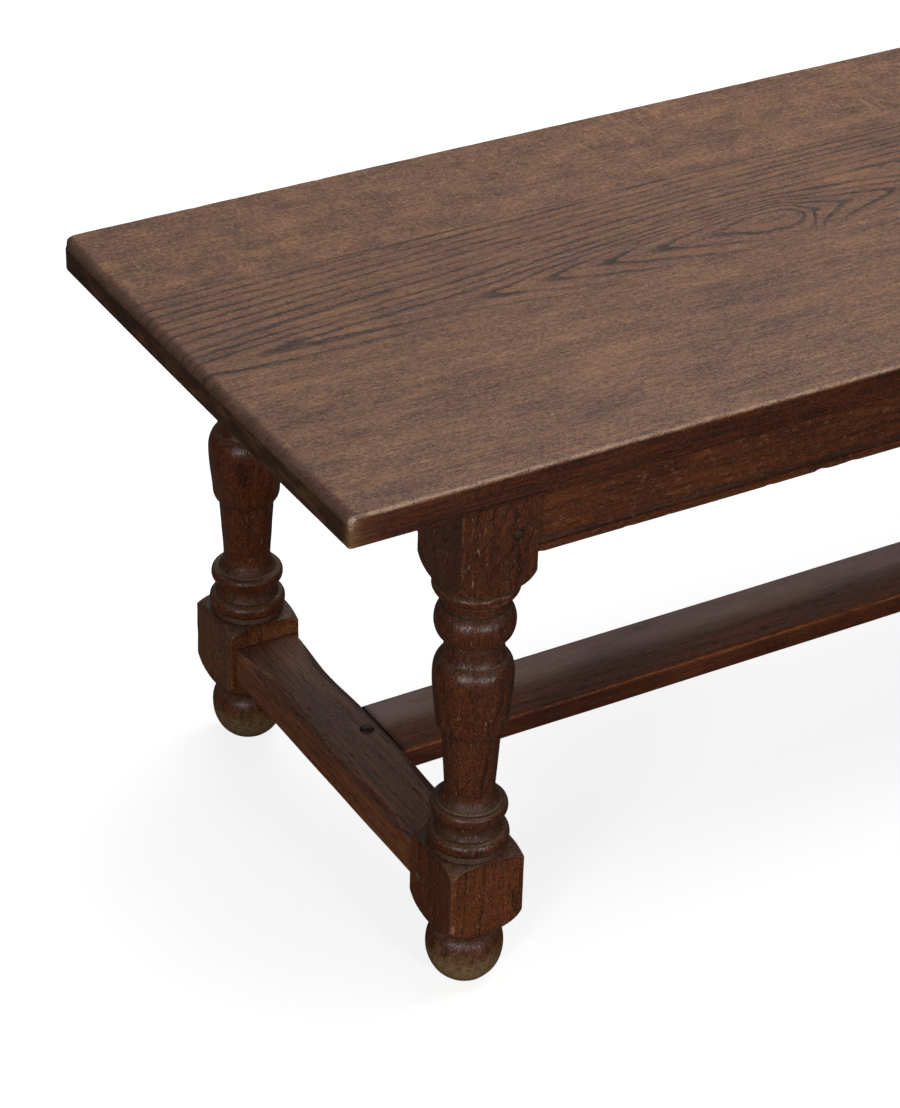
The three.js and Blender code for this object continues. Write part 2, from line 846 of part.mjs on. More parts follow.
function putTop() {
  const whole = wholeTop();
  const edge = tableDepth / 2 + overrun;
  const halfGap = fitGap / 2;
  put("top_board_rear", board(whole, rearSeam + halfGap, edge), topWood);
  put("top_board_middle", board(whole, frontSeam + halfGap, rearSeam - halfGap), topWood);
  put("top_board_front", board(whole, -edge, frontSeam - halfGap), topWood);
  put("top_tongue_rear", toGeometry(tongueRoom(rearSeam, 0)), hiddenWood);
  put("top_tongue_front", toGeometry(tongueRoom(frontSeam, 0)), hiddenWood);
}

function putButtons() {
  buttonPlaces.forEach(({ name, x, y, turn, screwX, screwY }) => {
    const button = put(`button_${name}`, buttonGeometry(), hiddenWood);
    button.position.set(x, y, 0);
    button.rotation.z = turn;
    const screw = put(`button_screw_${name}`, screwGeometry(), steel);
    screw.position.set(screwX, screwY, 0);
  });
}

function putLegs() {
  [-1, 1].forEach((sideY) => {
    [-1, 1].forEach((sideX) => {
      const corner = `${sideY < 0 ? "front" : "rear"}_${sideX < 0 ? "left" : "right"}`;
      const group = new THREE.Group();
      group.position.set(sideX * legX, sideY * legY, 0);
      table.add(group);
      put(`leg_${corner}`, legGeometry(-sideX, -sideY), legWood, group);
      legPegs(-sideX, -sideY).forEach(({ name, place, direction, length }) => {
        const geometry = pegGeometry(pegRadius, length, pegProud, pegSides);
        const peg = put(`peg_${name}_${corner}`, geometry, pegWood, group);
        peg.position.copy(place);
        peg.quaternion.setFromUnitVectors(new THREE.Vector3(0, 0, -1), direction);
      });
    });
  });
}

function putAprons() {
  [-1, 1].forEach((side) => {
    const name = side < 0 ? "front" : "rear";
    const apron = put(`apron_${name}`, apronGeometry(shoulderX, legX), apronWood);
    apron.position.y = side * (legY + blockHalf - apronSetback);
    apron.rotation.z = side < 0 ? 0 : Math.PI;
  });
  [-1, 1].forEach((side) => {
    const name = side < 0 ? "left" : "right";
    const apron = put(`apron_${name}`, apronGeometry(shoulderY, legY), apronWood);
    apron.position.x = side * (legX + blockHalf - apronSetback);
    apron.rotation.z = (side * Math.PI) / 2;
  });
}

function putStretchers() {
  [-1, 1].forEach((side) => {
    const name = side < 0 ? "left" : "right";
    const cross = put(`cross_stretcher_${name}`, crossStretcherGeometry(side), stretcherWood);
    cross.position.x = side * legX;
    cross.rotation.z = (-side * Math.PI) / 2;
    const pinGeometry = pegGeometry(pinRadius, pinDepth, pinDome, pinSides);
    const pin = put(`stretcher_pin_${name}`, pinGeometry, pegWood);
    pin.position.set(side * (legX - crossWidth / 2 + pinInset), 0, crossTop);
  });
  put("long_stretcher", longStretcherGeometry(), stretcherWood);
}

putTop();
putButtons();
putLegs();
putAprons();
putStretchers();

export default table;
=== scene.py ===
"""The looks of a joined oak coffee table: old waxed oak, worn at its edges and dusty in its grooves.

Sizes are millimetres in the frame's axes, +X along the table and -Y to its front, and turn into
metres when a mesh is made.
"""

import math
from types import SimpleNamespace

import bpy
import numpy as np
from mathutils import Matrix, Vector

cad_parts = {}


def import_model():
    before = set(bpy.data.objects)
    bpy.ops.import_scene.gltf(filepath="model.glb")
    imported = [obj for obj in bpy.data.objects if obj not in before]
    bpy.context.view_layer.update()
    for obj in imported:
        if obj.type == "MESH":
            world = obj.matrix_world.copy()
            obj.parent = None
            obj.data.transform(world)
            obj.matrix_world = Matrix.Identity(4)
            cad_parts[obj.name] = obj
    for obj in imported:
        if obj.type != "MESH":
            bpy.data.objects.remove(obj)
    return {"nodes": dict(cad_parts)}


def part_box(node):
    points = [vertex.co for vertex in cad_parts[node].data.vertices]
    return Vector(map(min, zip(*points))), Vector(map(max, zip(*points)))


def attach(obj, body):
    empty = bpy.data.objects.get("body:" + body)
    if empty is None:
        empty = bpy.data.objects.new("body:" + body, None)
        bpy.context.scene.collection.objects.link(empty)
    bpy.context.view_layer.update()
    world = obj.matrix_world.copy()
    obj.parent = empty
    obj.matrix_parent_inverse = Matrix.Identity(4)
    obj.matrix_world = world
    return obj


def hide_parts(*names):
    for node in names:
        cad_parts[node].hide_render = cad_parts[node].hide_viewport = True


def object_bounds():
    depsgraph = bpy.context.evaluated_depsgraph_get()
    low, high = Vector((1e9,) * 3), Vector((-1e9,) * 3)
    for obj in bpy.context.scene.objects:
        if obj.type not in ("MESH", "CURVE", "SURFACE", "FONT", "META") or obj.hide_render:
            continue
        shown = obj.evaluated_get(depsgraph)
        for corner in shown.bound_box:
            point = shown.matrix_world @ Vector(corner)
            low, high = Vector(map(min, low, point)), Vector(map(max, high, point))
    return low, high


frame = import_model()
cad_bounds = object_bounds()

METRE = 1000.0  # millimetres
SEED = 7
UP = np.array([0.0, 0.0, 1.0])


def cad_box(node):
    """The lowest and the highest corner of a CAD node, in millimetres."""
    low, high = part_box(node)
    return np.array(low) * METRE, np.array(high) * METRE


# Sizes read from the frame

TABLE_LOW = np.array(cad_bounds[0]) * METRE
TABLE_HIGH = np.array(cad_bounds[1]) * METRE
TOP_UNDERSIDE = cad_box("top_board_middle")[0][2]
HALF_THICK = (TABLE_HIGH[2] - TOP_UNDERSIDE) / 2
REAR_SEAM = (cad_box("top_board_rear")[0][1] + cad_box("top_board_middle")[1][1]) / 2
FRONT_SEAM = (cad_box("top_board_middle")[0][1] + cad_box("top_board_front")[1][1]) / 2
LEG_LOW, LEG_HIGH = cad_box("leg_front_left")
BLOCK_HALF = (LEG_HIGH[0] - LEG_LOW[0]) / 2
LEG_X = -(LEG_HIGH[0] + LEG_LOW[0]) / 2
LEG_Y = -(LEG_HIGH[1] + LEG_LOW[1]) / 2
LEG_TOP = LEG_HIGH[2]
CORNERS = {
    "front_left": (-1, -1),
    "front_right": (1, -1),
    "rear_left": (-1, 1),
    "rear_right": (1, 1),
}


# Noise for the meshes

_random = np.random.default_rng(SEED)
_order = _random.permutation(256)
_slopes = _random.normal(size=(256, 3))
_slopes /= np.linalg.norm(_slopes, axis=1)[:, None]


def noise(points, period, shift=0.0):
    """Smooth noise of about -1 to 1 at each point, with one swell in each period."""
    places = np.asarray(points, float) / np.asarray(period, float) + shift
    cells = np.floor(places).astype(int)
    inside = places - cells
    eased = inside**3 * (inside * (inside * 6 - 15) + 10)
    total = np.zeros(len(places))
    for corner in np.ndindex(2, 2, 2):
        x, y, z = ((cells + corner) & 255).T
        slope = _slopes[_order[(_order[(_order[x] + y) & 255] + z) & 255]]
        weight = np.where(corner, eased, 1 - eased).prod(axis=1)
        total += weight * ((inside - corner) * slope).sum(axis=1)
    return 1.6 * total


def smooth(value, low, high):
    """0 below low, 1 above high, with level ends between."""
    t = np.clip((value - low) / (high - low), 0, 1)
    return t * t * (3 - 2 * t)


def nearness(distance, width):
    """1 at no distance, falling off over a width."""
    return np.exp(-((distance / width) ** 2))


def on_axis(places, axis):
    """Points on an axis, for noise that changes along it alone."""
    points = np.zeros((len(places), 3))
    points[:, axis] = places
    return points


# Outlines, as rows of two coordinates

FINE_STEP = 0.95  # along an outline, between the rings of a fine mesh
PLAIN_STEP = 3.0
DOUBLED = 0.02  # points closer than this are one


def arc(centre, across, up, start, stop, step=FINE_STEP):
    """Points on an ellipse's arc. Angles are in degrees."""
    turn = math.radians(stop - start)
    count = max(3, math.ceil(abs(turn) * (across + up) / 2 / step))
    angles = math.radians(start) + turn * np.linspace(0, 1, count + 1)
    return np.stack([centre[0] + across * np.cos(angles), centre[1] + up * np.sin(angles)], 1)


def bend(start, pull, end, step=FINE_STEP):
    """Points on a curve from one point to another that is pulled towards a third."""
    start, pull, end = (np.array(p, float) for p in (start, pull, end))
    length = np.linalg.norm(pull - start) + np.linalg.norm(end - pull)
    t = np.linspace(0, 1, max(3, math.ceil(length / step)) + 1)[:, None]
    return (1 - t) ** 2 * start + 2 * t * (1 - t) * pull + t**2 * end


def straight(start, end, step=PLAIN_STEP):
    """Points on a straight line, with both of its ends."""
    length = math.dist(start, end)
    t = np.linspace(0, 1, max(1, math.ceil(length / step)) + 1)[:, None]
    return (1 - t) * np.array(start, float) + t * np.array(end, float)


def joined(*stretches):
    """One outline from several stretches, without doubled points."""
    points = np.concatenate([np.atleast_2d(s) for s in stretches])
    apart = np.linalg.norm(np.diff(points, axis=0), axis=1) > DOUBLED
    return points[np.concatenate([[True], apart])]


def bulge(outline, reach):
    """How far each point stands proud of the chord that spans it; below zero in a hollow."""
    steps = np.linalg.norm(np.diff(outline, axis=0), axis=1)
    along = np.concatenate([[0], np.cumsum(steps)])
    before = np.stack([np.interp(along - reach, along, c) for c in outline.T], 1)
    after = np.stack([np.interp(along + reach, along, c) for c in outline.T], 1)
    chord = after - before
    chord /= np.maximum(np.linalg.norm(chord, axis=1), 1e-9)[:, None]
    out = outline - (before + after) / 2
    return out[:, 0] * chord[:, 1] - out[:, 1] * chord[:, 0]


# Meshes

SHARP_ANGLE = math.radians(38)
BOARD_SHARP_ANGLE = math.radians(50)
HOLE_SIDES = 40


def ring_faces(rows, columns):
    """Quads over rows of closed rings."""
    row = np.arange(rows - 1)[:, None] * columns
    column = np.arange(columns)[None, :]
    beside = (column + 1) % columns
    quads = [row + column, row + beside, row + columns + beside, row + columns + column]
    return np.stack(quads, -1).reshape(-1, 4)


def skin(rings):
    """Points and faces of a closed body over rings of equal count, with a fan on each end."""
    rows, columns, _ = rings.shape
    points = np.concatenate([rings.reshape(-1, 3), [rings[0].mean(0), rings[-1].mean(0)]])
    faces = ring_faces(rows, columns).tolist()
    start, end = rows * columns, rows * columns + 1
    last = (rows - 1) * columns
    for i in range(columns):
        j = (i + 1) % columns
        faces.append([start, j, i])
        faces.append([end, last + i, last + j])
    return points, faces


def with_ends(values):
    """Values for the two middle points that close a skin."""
    return np.concatenate([values, [values[0], values[-1]]])


def volume(points, faces):
    """The space inside a closed mesh, below zero where its faces look inwards."""
    total = 0.0
    for size in (3, 4):
        group = np.array([f for f in faces if len(f) == size])
        if not len(group):
            continue
        for k in range(1, size - 1):
            a, b, c = points[group[:, 0]], points[group[:, k]], points[group[:, k + 1]]
            total += (a * np.cross(b, c)).sum() / 6
    return total


def new_mesh(name, points, faces):
    """A mesh from points in millimetres, with its faces turned outwards."""
    if volume(points, faces) < 0:
        faces = [list(reversed(face)) for face in faces]
    mesh = bpy.data.meshes.new(name)
    mesh.from_pydata((points / METRE).tolist(), [], faces)
    return mesh


def new_object(name, data):
    """A new object in the scene."""
    made = bpy.data.objects.new(name, data)
    bpy.context.scene.collection.objects.link(made)
    return made


def shade(mesh, sharp=SHARP_ANGLE):
    """Shades a mesh smooth and keeps its sharp edges."""
    mesh.shade_smooth()
    mesh.set_sharp_from_angle(angle=sharp)


def make_piece(name, body, material, node, attributes, sharp=SHARP_ANGLE):
    """A piece in place of its CAD node, from a body of points and faces."""
    mesh = new_mesh(name, *body)
    for key, values in attributes.items():
        layer = mesh.attributes.new(key, "FLOAT", "POINT")
        layer.data.foreach_set("value", np.asarray(values, np.float32))
    shade(mesh, sharp)
    mesh.materials.append(material)
    piece = new_object(name, mesh)
    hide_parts(node)
    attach(piece, "root")
    return piece


def cut_holes(piece, rods):
    """Cuts holes into a piece. Each rod is (mouth, inward direction, radius, depth)."""
    points, faces = np.zeros((0, 3)), []
    for mouth, inward, radius, depth in rods:
        inward = np.array(inward, float)
        side = np.cross(inward, UP if abs(inward[2]) < 0.5 else [1.0, 0.0, 0.0])
        side /= np.linalg.norm(side)
        turn = np.linspace(0, 2 * math.pi, HOLE_SIDES, endpoint=False)[:, None]
        circle = radius * (np.cos(turn) * side + np.sin(turn) * np.cross(inward, side))
        ends = [mouth + circle - inward * radius, mouth + circle + inward * depth]
        rod_points, rod_faces = skin(np.stack(ends))
        faces += [[i + len(points) for i in face] for face in rod_faces]
        points = np.concatenate([points, rod_points])
    cutter = new_object("cutter", new_mesh("cutter", points, faces))
    cut = piece.modifiers.new("holes", "BOOLEAN")
    cut.operation = "DIFFERENCE"
    cut.solver = "MANIFOLD"
    cut.object = cutter
    seen = bpy.context.evaluated_depsgraph_get()
    finished = bpy.data.meshes.new_from_object(piece.evaluated_get(seen))
    piece.modifiers.remove(cut)
    piece.data = finished
    bpy.data.objects.remove(cutter)
    shade(finished)


# Materials: sums of values and places that put nodes in a tree

HALF = (0.5, 0.5, 0.5)


def linear(code):
    """A colour written as #rrggbb, for a shader."""
    parts = [int(code[i : i + 2], 16) / 255 for i in (1, 3, 5)]
    return tuple(((p + 0.055) / 1.055) ** 2.4 if p > 0.04045 else p / 12.92 for p in parts) + (1.0,)


class Value:
    """The socket that a node gives its result from. A sum with it is a new node."""

    def __init__(self, tree, socket):
        self.tree = tree
        self.socket = socket

    def __add__(self, other):
        return self.tree.math("ADD", self, other)

    def __sub__(self, other):
        return self.tree.math("SUBTRACT", self, other)

    def __mul__(self, other):
        return self.tree.math("MULTIPLY", self, other)

    def __truediv__(self, other):
        return self.tree.math("DIVIDE", self, other)

    def __abs__(self):
        return self.tree.math("ABSOLUTE", self)

    __radd__ = __add__
    __rmul__ = __mul__

    def step(self, low, high, start=0.0, stop=1.0, kind="SMOOTHSTEP"):
        """Runs smoothly from start to stop as the value goes from low to high."""
        inputs = {"Value": self, "From Min": low, "From Max": high, "To Min": start, "To Max": stop}
        return self.tree.value("ShaderNodeMapRange", inputs, interpolation_type=kind)

    def fall(self, low, high, start=1.0):
        """Runs smoothly from start to 0 as the value goes from low to high."""
        return self.step(low, high, start, 0.0)

    def share(self, low, high):
        """0 at low and 1 at high, in a straight line."""
        return self.step(low, high, kind="LINEAR")


class Place(Value):
    """A socket of three numbers."""

    def __add__(self, other):
        return self.tree.vector("ADD", self, other)

    def __sub__(self, other):
        return self.tree.vector("SUBTRACT", self, other)

    def __mul__(self, other):
        return self.tree.vector("MULTIPLY", self, other)

    def split(self):
        """Its three numbers, one by one."""
        node = self.tree.put("ShaderNodeSeparateXYZ", {0: self})
        return [Value(self.tree, socket) for socket in node.outputs]

    def length(self):
        return self.tree.value("ShaderNodeVectorMath", {0: self}, "Value", operation="LENGTH")


class Tree:
    """The nodes of a new material, or of the world."""

    def __init__(self, owner):
        self.owner = owner
        owner.use_nodes = True
        self.nodes, self.links = owner.node_tree.nodes, owner.node_tree.links
        self.nodes.clear()

    def put(self, kind, inputs=None, **settings):
        """A new node. An input is a plain value or what another node gives."""
        node = self.nodes.new(kind)
        for key, value in settings.items():
            setattr(node, key, value)
        for key, value in (inputs or {}).items():
            if isinstance(value, Value):
                self.links.new(value.socket, node.inputs[key])
            else:
                node.inputs[key].default_value = value
        return node

    def value(self, kind, inputs=None, output=0, **settings):
        """What one output of a new node gives."""
        return Value(self, self.put(kind, inputs, **settings).outputs[output])

    def math(self, operation, a, b=0.0):
        return self.value("ShaderNodeMath", {0: a, 1: b}, operation=operation)

    def vector(self, operation, a, b, c=(0.0, 0.0, 0.0)):
        node = self.put("ShaderNodeVectorMath", {0: a, 1: b, 2: c}, operation=operation)
        return Place(self, node.outputs[0])

    def noise(self, place, periods, detail=2.0, roughness=0.5, shift=0.0, distortion=0.0, colour=False):
        """Noise with a swell in each period. Periods are given along and across, or deep too."""
        periods = (*periods, periods[-1])[:3]
        offset = (shift, shift * 1.7, shift * 0.6)
        scaled = self.vector("MULTIPLY_ADD", place, tuple(1 / p for p in periods), offset)
        inputs = {"Vector": scaled, "Scale": 1.0, "Detail": detail}
        inputs |= {"Roughness": roughness, "Distortion": distortion}
        node = self.put("ShaderNodeTexNoise", inputs)
        return Place(self, node.outputs["Color"]) if colour else Value(self, node.outputs["Fac"])

    def ramp(self, value, stops):
        """A colour for each value, from stops of place and colour."""
        node = self.put("ShaderNodeValToRGB", {"Fac": value})
        elements = node.color_ramp.elements
        while len(elements) < len(stops):
            elements.new(0.5)
        for element, (position, code) in zip(elements, stops, strict=True):
            element.position = position
            element.color = linear(code)
        return Value(self, node.outputs[0])

    def curve(self, value, points):
        """A curve through points with both coordinates from 0 to 1."""
        node = self.put("ShaderNodeFloatCurve", {"Value": value})
        line = node.mapping.curves[0]
        while len(line.points) < len(points):
            line.points.new(0.5, 0.5)
        for point, place in zip(line.points, points, strict=True):
            point.location = place
            point.handle_type = "AUTO_CLAMPED"
        node.mapping.update()
        return Value(self, node.outputs[0])

    def mix(self, share, colour, other, blend="MIX"):
        """A colour with a share of another one mixed in."""
        inputs = {0: share, 6: colour, 7: linear(other) if isinstance(other, str) else other}
        return self.value("ShaderNodeMix", inputs, 2, data_type="RGBA", blend_type=blend)

    def tint(self, colour, factors, share=1.0):
        """Multiplies a colour's red, green and blue."""
        return self.mix(share, colour, (*factors, 1.0), "MULTIPLY")

    def attribute(self, name):
        return self.value("ShaderNodeAttribute", output="Fac", attribute_name=name)

    def object_place(self, origin=(0.0, 0.0, 0.0)):
        """The place on the table from an origin, in millimetres."""
        place = self.value("ShaderNodeTexCoord", output="Object")
        return self.vector("MULTIPLY_ADD", place, (METRE,) * 3, tuple(-o for o in origin))

    def finish(self, surface, output="ShaderNodeOutputMaterial"):
        """Ends the nodes with a surface, and gives the material or the world that they belong to."""
        self.put(output, {"Surface": surface})
        return self.owner

    def principled(self, inputs, height, strength, distance):
        """A surface with a relief, whose distance is in metres."""
        relief = {"Height": height, "Strength": strength, "Distance": distance}
        inputs["Normal"] = self.value("ShaderNodeBump", relief)
        return self.finish(self.value("ShaderNodeBsdfPrincipled", inputs))


ORDERS = {"X": (0, 1, 2), "Y": (1, 0, 2), "Z": (2, 0, 1)}  # along, across, deep
SEED_STEP = 137.0  # along the grain, from one piece's wood to the next one's


def grain_place(tree, scaled, along, seed):
    """The place in the plank: along the grain, across it and deep."""
    parts = scaled.split()
    along_part, across, deep = (parts[i] for i in ORDERS[along])
    inputs = {0: along_part + SEED_STEP * seed, 1: across, 2: deep}
    return Place(tree, tree.put("ShaderNodeCombineXYZ", inputs).outputs[0])


def ring_field(pith, pitch):
    """Growth rings round a pith that lies beside the plank, counted from it."""
    def field(tree, warped):
        _, across, deep = warped.split()
        across, deep = across - pith[0], deep - pith[1]
        return tree.math("SQRT", across * across + deep * deep) / pitch, 1.0

    return field


def wandering(tree, place, slow_reach, fast_reach):
    """The place in the grain, which wanders slowly, and a little at the scale of the fibres."""
    slow = tree.noise(place, (260, 70), 1.0, colour=True) - HALF
    fast = tree.noise(place, (34, 7), colour=True) - HALF
    return place + slow * (0, slow_reach, slow_reach) + fast * (0, fast_reach, fast_reach)


def early_wood(tree, place, warped, look):
    """Each ring starts with a band of large pores, sharp on one side and feathered on the other."""
    rings, strength = look.field(tree, warped)
    feather = tree.noise(place, (17, 1.9), shift=41.0)
    phase = tree.math("FRACT", rings + look.ring_feather * (feather - 0.5))
    early = phase.step(0.0, 0.06) * phase.fall(0.1, look.ring_width)
    faded = tree.noise(place, (120, 26), shift=83.0)
    return early * faded.step(0.3, 0.6, 0.5, 1.2) * strength


# What oak looks like where its piece doesn't say otherwise. Sizes are along and across the grain,
# depths are shares of the tones, and bars are the noise that a pore takes outside and inside
# the early wood.

OAK = {
    "tones": (),
    "field": ring_field((70.0, 45.0), 3.4),
    "wander": (16.0, 2.4),
    "ring_depth": 0.2,
    "ring_width": 0.42,
    "ring_feather": 0.6,
    "fibre_depth": 0.34,
    "fibre_size": (40.0, 2.3),
    "streak_depth": 0.18,
    "mottle_depth": 0.22,
    "mottle_size": (80.0, 32.0),
    "grit_depth": 0.3,
    "pore_size": (9.0, 1.2),
    "pore_depth": 0.34,
    "pore_bars": (0.66, 0.57),
    "wax": 0.0,
    "blotch": 0.0,
    "fleck": 0.0,
    "worn_colour": "#75513a",
    "worn_share": 0.6,
    "grime_colour": "#150f0b",
    "grime_share": 0.6,
    "wax_colour": "#7d7052",
    "roughness": 0.4,
    "specular": 0.32,
    "bump": 0.6,
    "extra": None,
}
DUST_COLOUR = "#7d7052"
DUST_SHARE = 0.55
RELIEF = 0.0005  # metres


def oak(name, along, origin=(0.0, 0.0, 0.0), seed=0.0, **settings):
    """Waxed oak. Its tones run from the pores to the palest grain."""
    look = SimpleNamespace(**(OAK | settings))
    tree = Tree(bpy.data.materials.new(name))
    scaled = tree.object_place(origin)
    place = grain_place(tree, scaled, along, seed)
    warped = wandering(tree, place, *look.wander)
    early = early_wood(tree, place, warped, look)
    fibre = tree.noise(warped, look.fibre_size, 3.0, 0.72) - 0.5
    grit = tree.noise(place, (2.4, 1.5), 1.0, 0.8, 77.0) - 0.5
    streak = tree.noise(warped, (110, 5.2)) - 0.5
    mottle = tree.noise(place, look.mottle_size, 4.0, 0.62, 5.0) - 0.5
    pores = tree.noise(warped, look.pore_size, 1.0, shift=31.0)
    pores = (pores - early.step(0.0, 1.0, *look.pore_bars)).step(0.0, 0.05)

    tone = 0.52 + fibre * (2 * look.fibre_depth) + streak * (2 * look.streak_depth)
    tone += mottle * (2 * look.mottle_depth) + grit * (2 * look.grit_depth)
    tone += early * -look.ring_depth + pores * -look.pore_depth
    if look.fleck:
        rays = tree.noise(place, (3.2, 16, 5), shift=11.0, distortion=0.6)
        where = tree.noise(place, (120, 60), 1.0, shift=3.0)
        tone += rays.step(0.6, 0.72) * where.step(0.42, 0.6) * look.fleck
    colour = tree.ramp(tone, look.tones)
    if look.blotch:
        patch = tree.noise(place, (8, 4.5), 3.0, 0.6, 67.0)
        colour = tree.mix(patch.step(0.58, 0.68) * look.blotch, colour, look.worn_colour)
    if look.extra:
        colour = look.extra(tree, scaled, place, colour)

    # Wear on what stands proud, darkening in the hollows that is grime and painted shade, and dust
    patchy = tree.noise(place, (12, 6), 4.0, 0.7, 17.0) - 0.5
    speckle = tree.noise(place, (2.4, 1.3), shift=23.0) - 0.5
    rubbed = (tree.attribute("worn") + patchy * 1.5 + speckle * 1.3).step(0.5, 1.05)
    grime_and_shade = (tree.attribute("hollow") + patchy * 0.8).step(0.25, 1.0)
    dust = (tree.attribute("dust") + speckle * 1.1).step(0.65, 1.1)
    colour = tree.mix(rubbed * look.worn_share, colour, look.worn_colour)
    colour = tree.mix(grime_and_shade * look.grime_share, colour, look.grime_colour)
    colour = tree.mix(dust * DUST_SHARE, colour, DUST_COLOUR)
    if look.wax:
        filled = tree.noise(warped, (6.5, 1.4), 1.0, shift=53.0)
        where = tree.noise(place, (30, 22), shift=59.0)
        filled = filled.step(0.69, 0.74) * where.step(0.45, 0.62)
        colour = tree.mix(filled * look.wax, colour, look.wax_colour)

    gloss = look.roughness + mottle * 0.2 + fibre * 0.16 + pores * 0.15 + grime_and_shade * 0.2 + dust * 0.25
    height = fibre * 0.6 + grit * 0.25 + streak * 0.4 + early * -0.12 + pores * -0.3
    surface = {"Base Color": colour, "Roughness": gloss, "Specular IOR Level": look.specular}
    return tree.principled(surface, height, look.bump, RELIEF)


# Leg: sizes of the turning, as the solid has them

FOOT_HEIGHT = 51.5
FOOT_RADIUS = 31.4
FOOT_WIDEST = 33.0
FOOT_PAD = 6.0
FOOT_TOP = 22.5
ANKLE_RADIUS = 25.4
ANKLE_HEIGHT = 9.0
ANKLE_ROUND = 2.0
LOWER_BLOCK = 71.0
LOWER_DOME = 7.8
SHOULDER = 20.0
RING_GAP = 4.0
LOWER_RING = (13.2, 32.8)  # height and radius
RING_NECK = 28.0
COVE = (14.2, 25.6, 27.3)  # height, radius in the hollow and at the lips
UPPER_RING = (10.6, 30.9)
FLARE = (15.4, 25.4)
TAPER = (20.1, 23.4)  # radius at the foot and at the head
TAPER_STEP = 1.6
STEP_HEIGHT = 11.0
STEP_SHARE = 0.44
VASE = (28.6, 31.8, 25.9)  # radius at the foot, at the widest and at the lip
VASE_SHOULDER_SHARE = 0.3
VASE_RINGS = 26
VASE_SWELL = 1.2
NECK = (17.6, 23.0)
BALL = (28.6, 31.5, 23.8)  # height, radius and radius at the seat
FILLET = (10.8, 25.6, 27.8)
BEAD = (12.3, 34.0)
BEAD_MIDDLE_SHARE = 0.6
BEAD_TURN = 68  # degrees of its upper half that show below the block
UPPER_BLOCK = 92.0
QUIRK = 0.5  # depth of the lines cut beside the rings
PULL_SHARE = 1 / 3
DOME_INNER_SHARE = 0.94
SHOULDER_START = 9.0  # degrees of the upper shoulder that the bead hides
ARRIS_ROUND = 1.3
ARRIS_SWING = 0.7
ARRIS_LIMITS = (0.5, 3.0)
ARRIS_CROWDING = 0.35
COLUMNS_PER_FACE = 40
ANKLE_TOP = FOOT_HEIGHT + ANKLE_HEIGHT
BLOCK_HEAD = ANKLE_TOP + LOWER_BLOCK
RING_FOOT = BLOCK_HEAD + RING_GAP


def ring_turn(foot, height, radius):
    """A half-round ring on its neck."""
    centre = (RING_NECK, foot + height / 2)
    return arc(centre, radius - RING_NECK, height / 2, -90, 90)


def foot_outline():
    """The bun foot and its ankle."""
    corner = (ANKLE_RADIUS, FOOT_HEIGHT + ANKLE_ROUND)
    return [
        (0.5, 0),
        arc((FOOT_PAD, FOOT_WIDEST), FOOT_RADIUS - FOOT_PAD, FOOT_WIDEST, -90, 0),
        arc((FOOT_TOP, FOOT_WIDEST), FOOT_RADIUS - FOOT_TOP, FOOT_HEIGHT - FOOT_WIDEST, 0, 90),
        bend((FOOT_TOP, FOOT_HEIGHT), (ANKLE_RADIUS - 1, FOOT_HEIGHT), corner),
        straight(corner, (ANKLE_RADIUS, ANKLE_TOP)),
    ]


def vase_outline(foot, head):
    """The swelling body, up to its lip."""
    shoulder = (head - foot) * VASE_SHOULDER_SHARE
    rise = np.linspace(0, 1, VASE_RINGS)
    swell = np.sin(rise * math.pi / 2) ** VASE_SWELL
    radius = VASE[0] + (VASE[1] - VASE[0]) * swell
    return [
        np.stack([radius, foot + (head - foot - shoulder) * rise], 1),
        bend((VASE[1], head - shoulder), (VASE[1], head - shoulder * PULL_SHARE), (VASE[2], head)),
        (VASE[2] - QUIRK, head + QUIRK / 2),
    ]


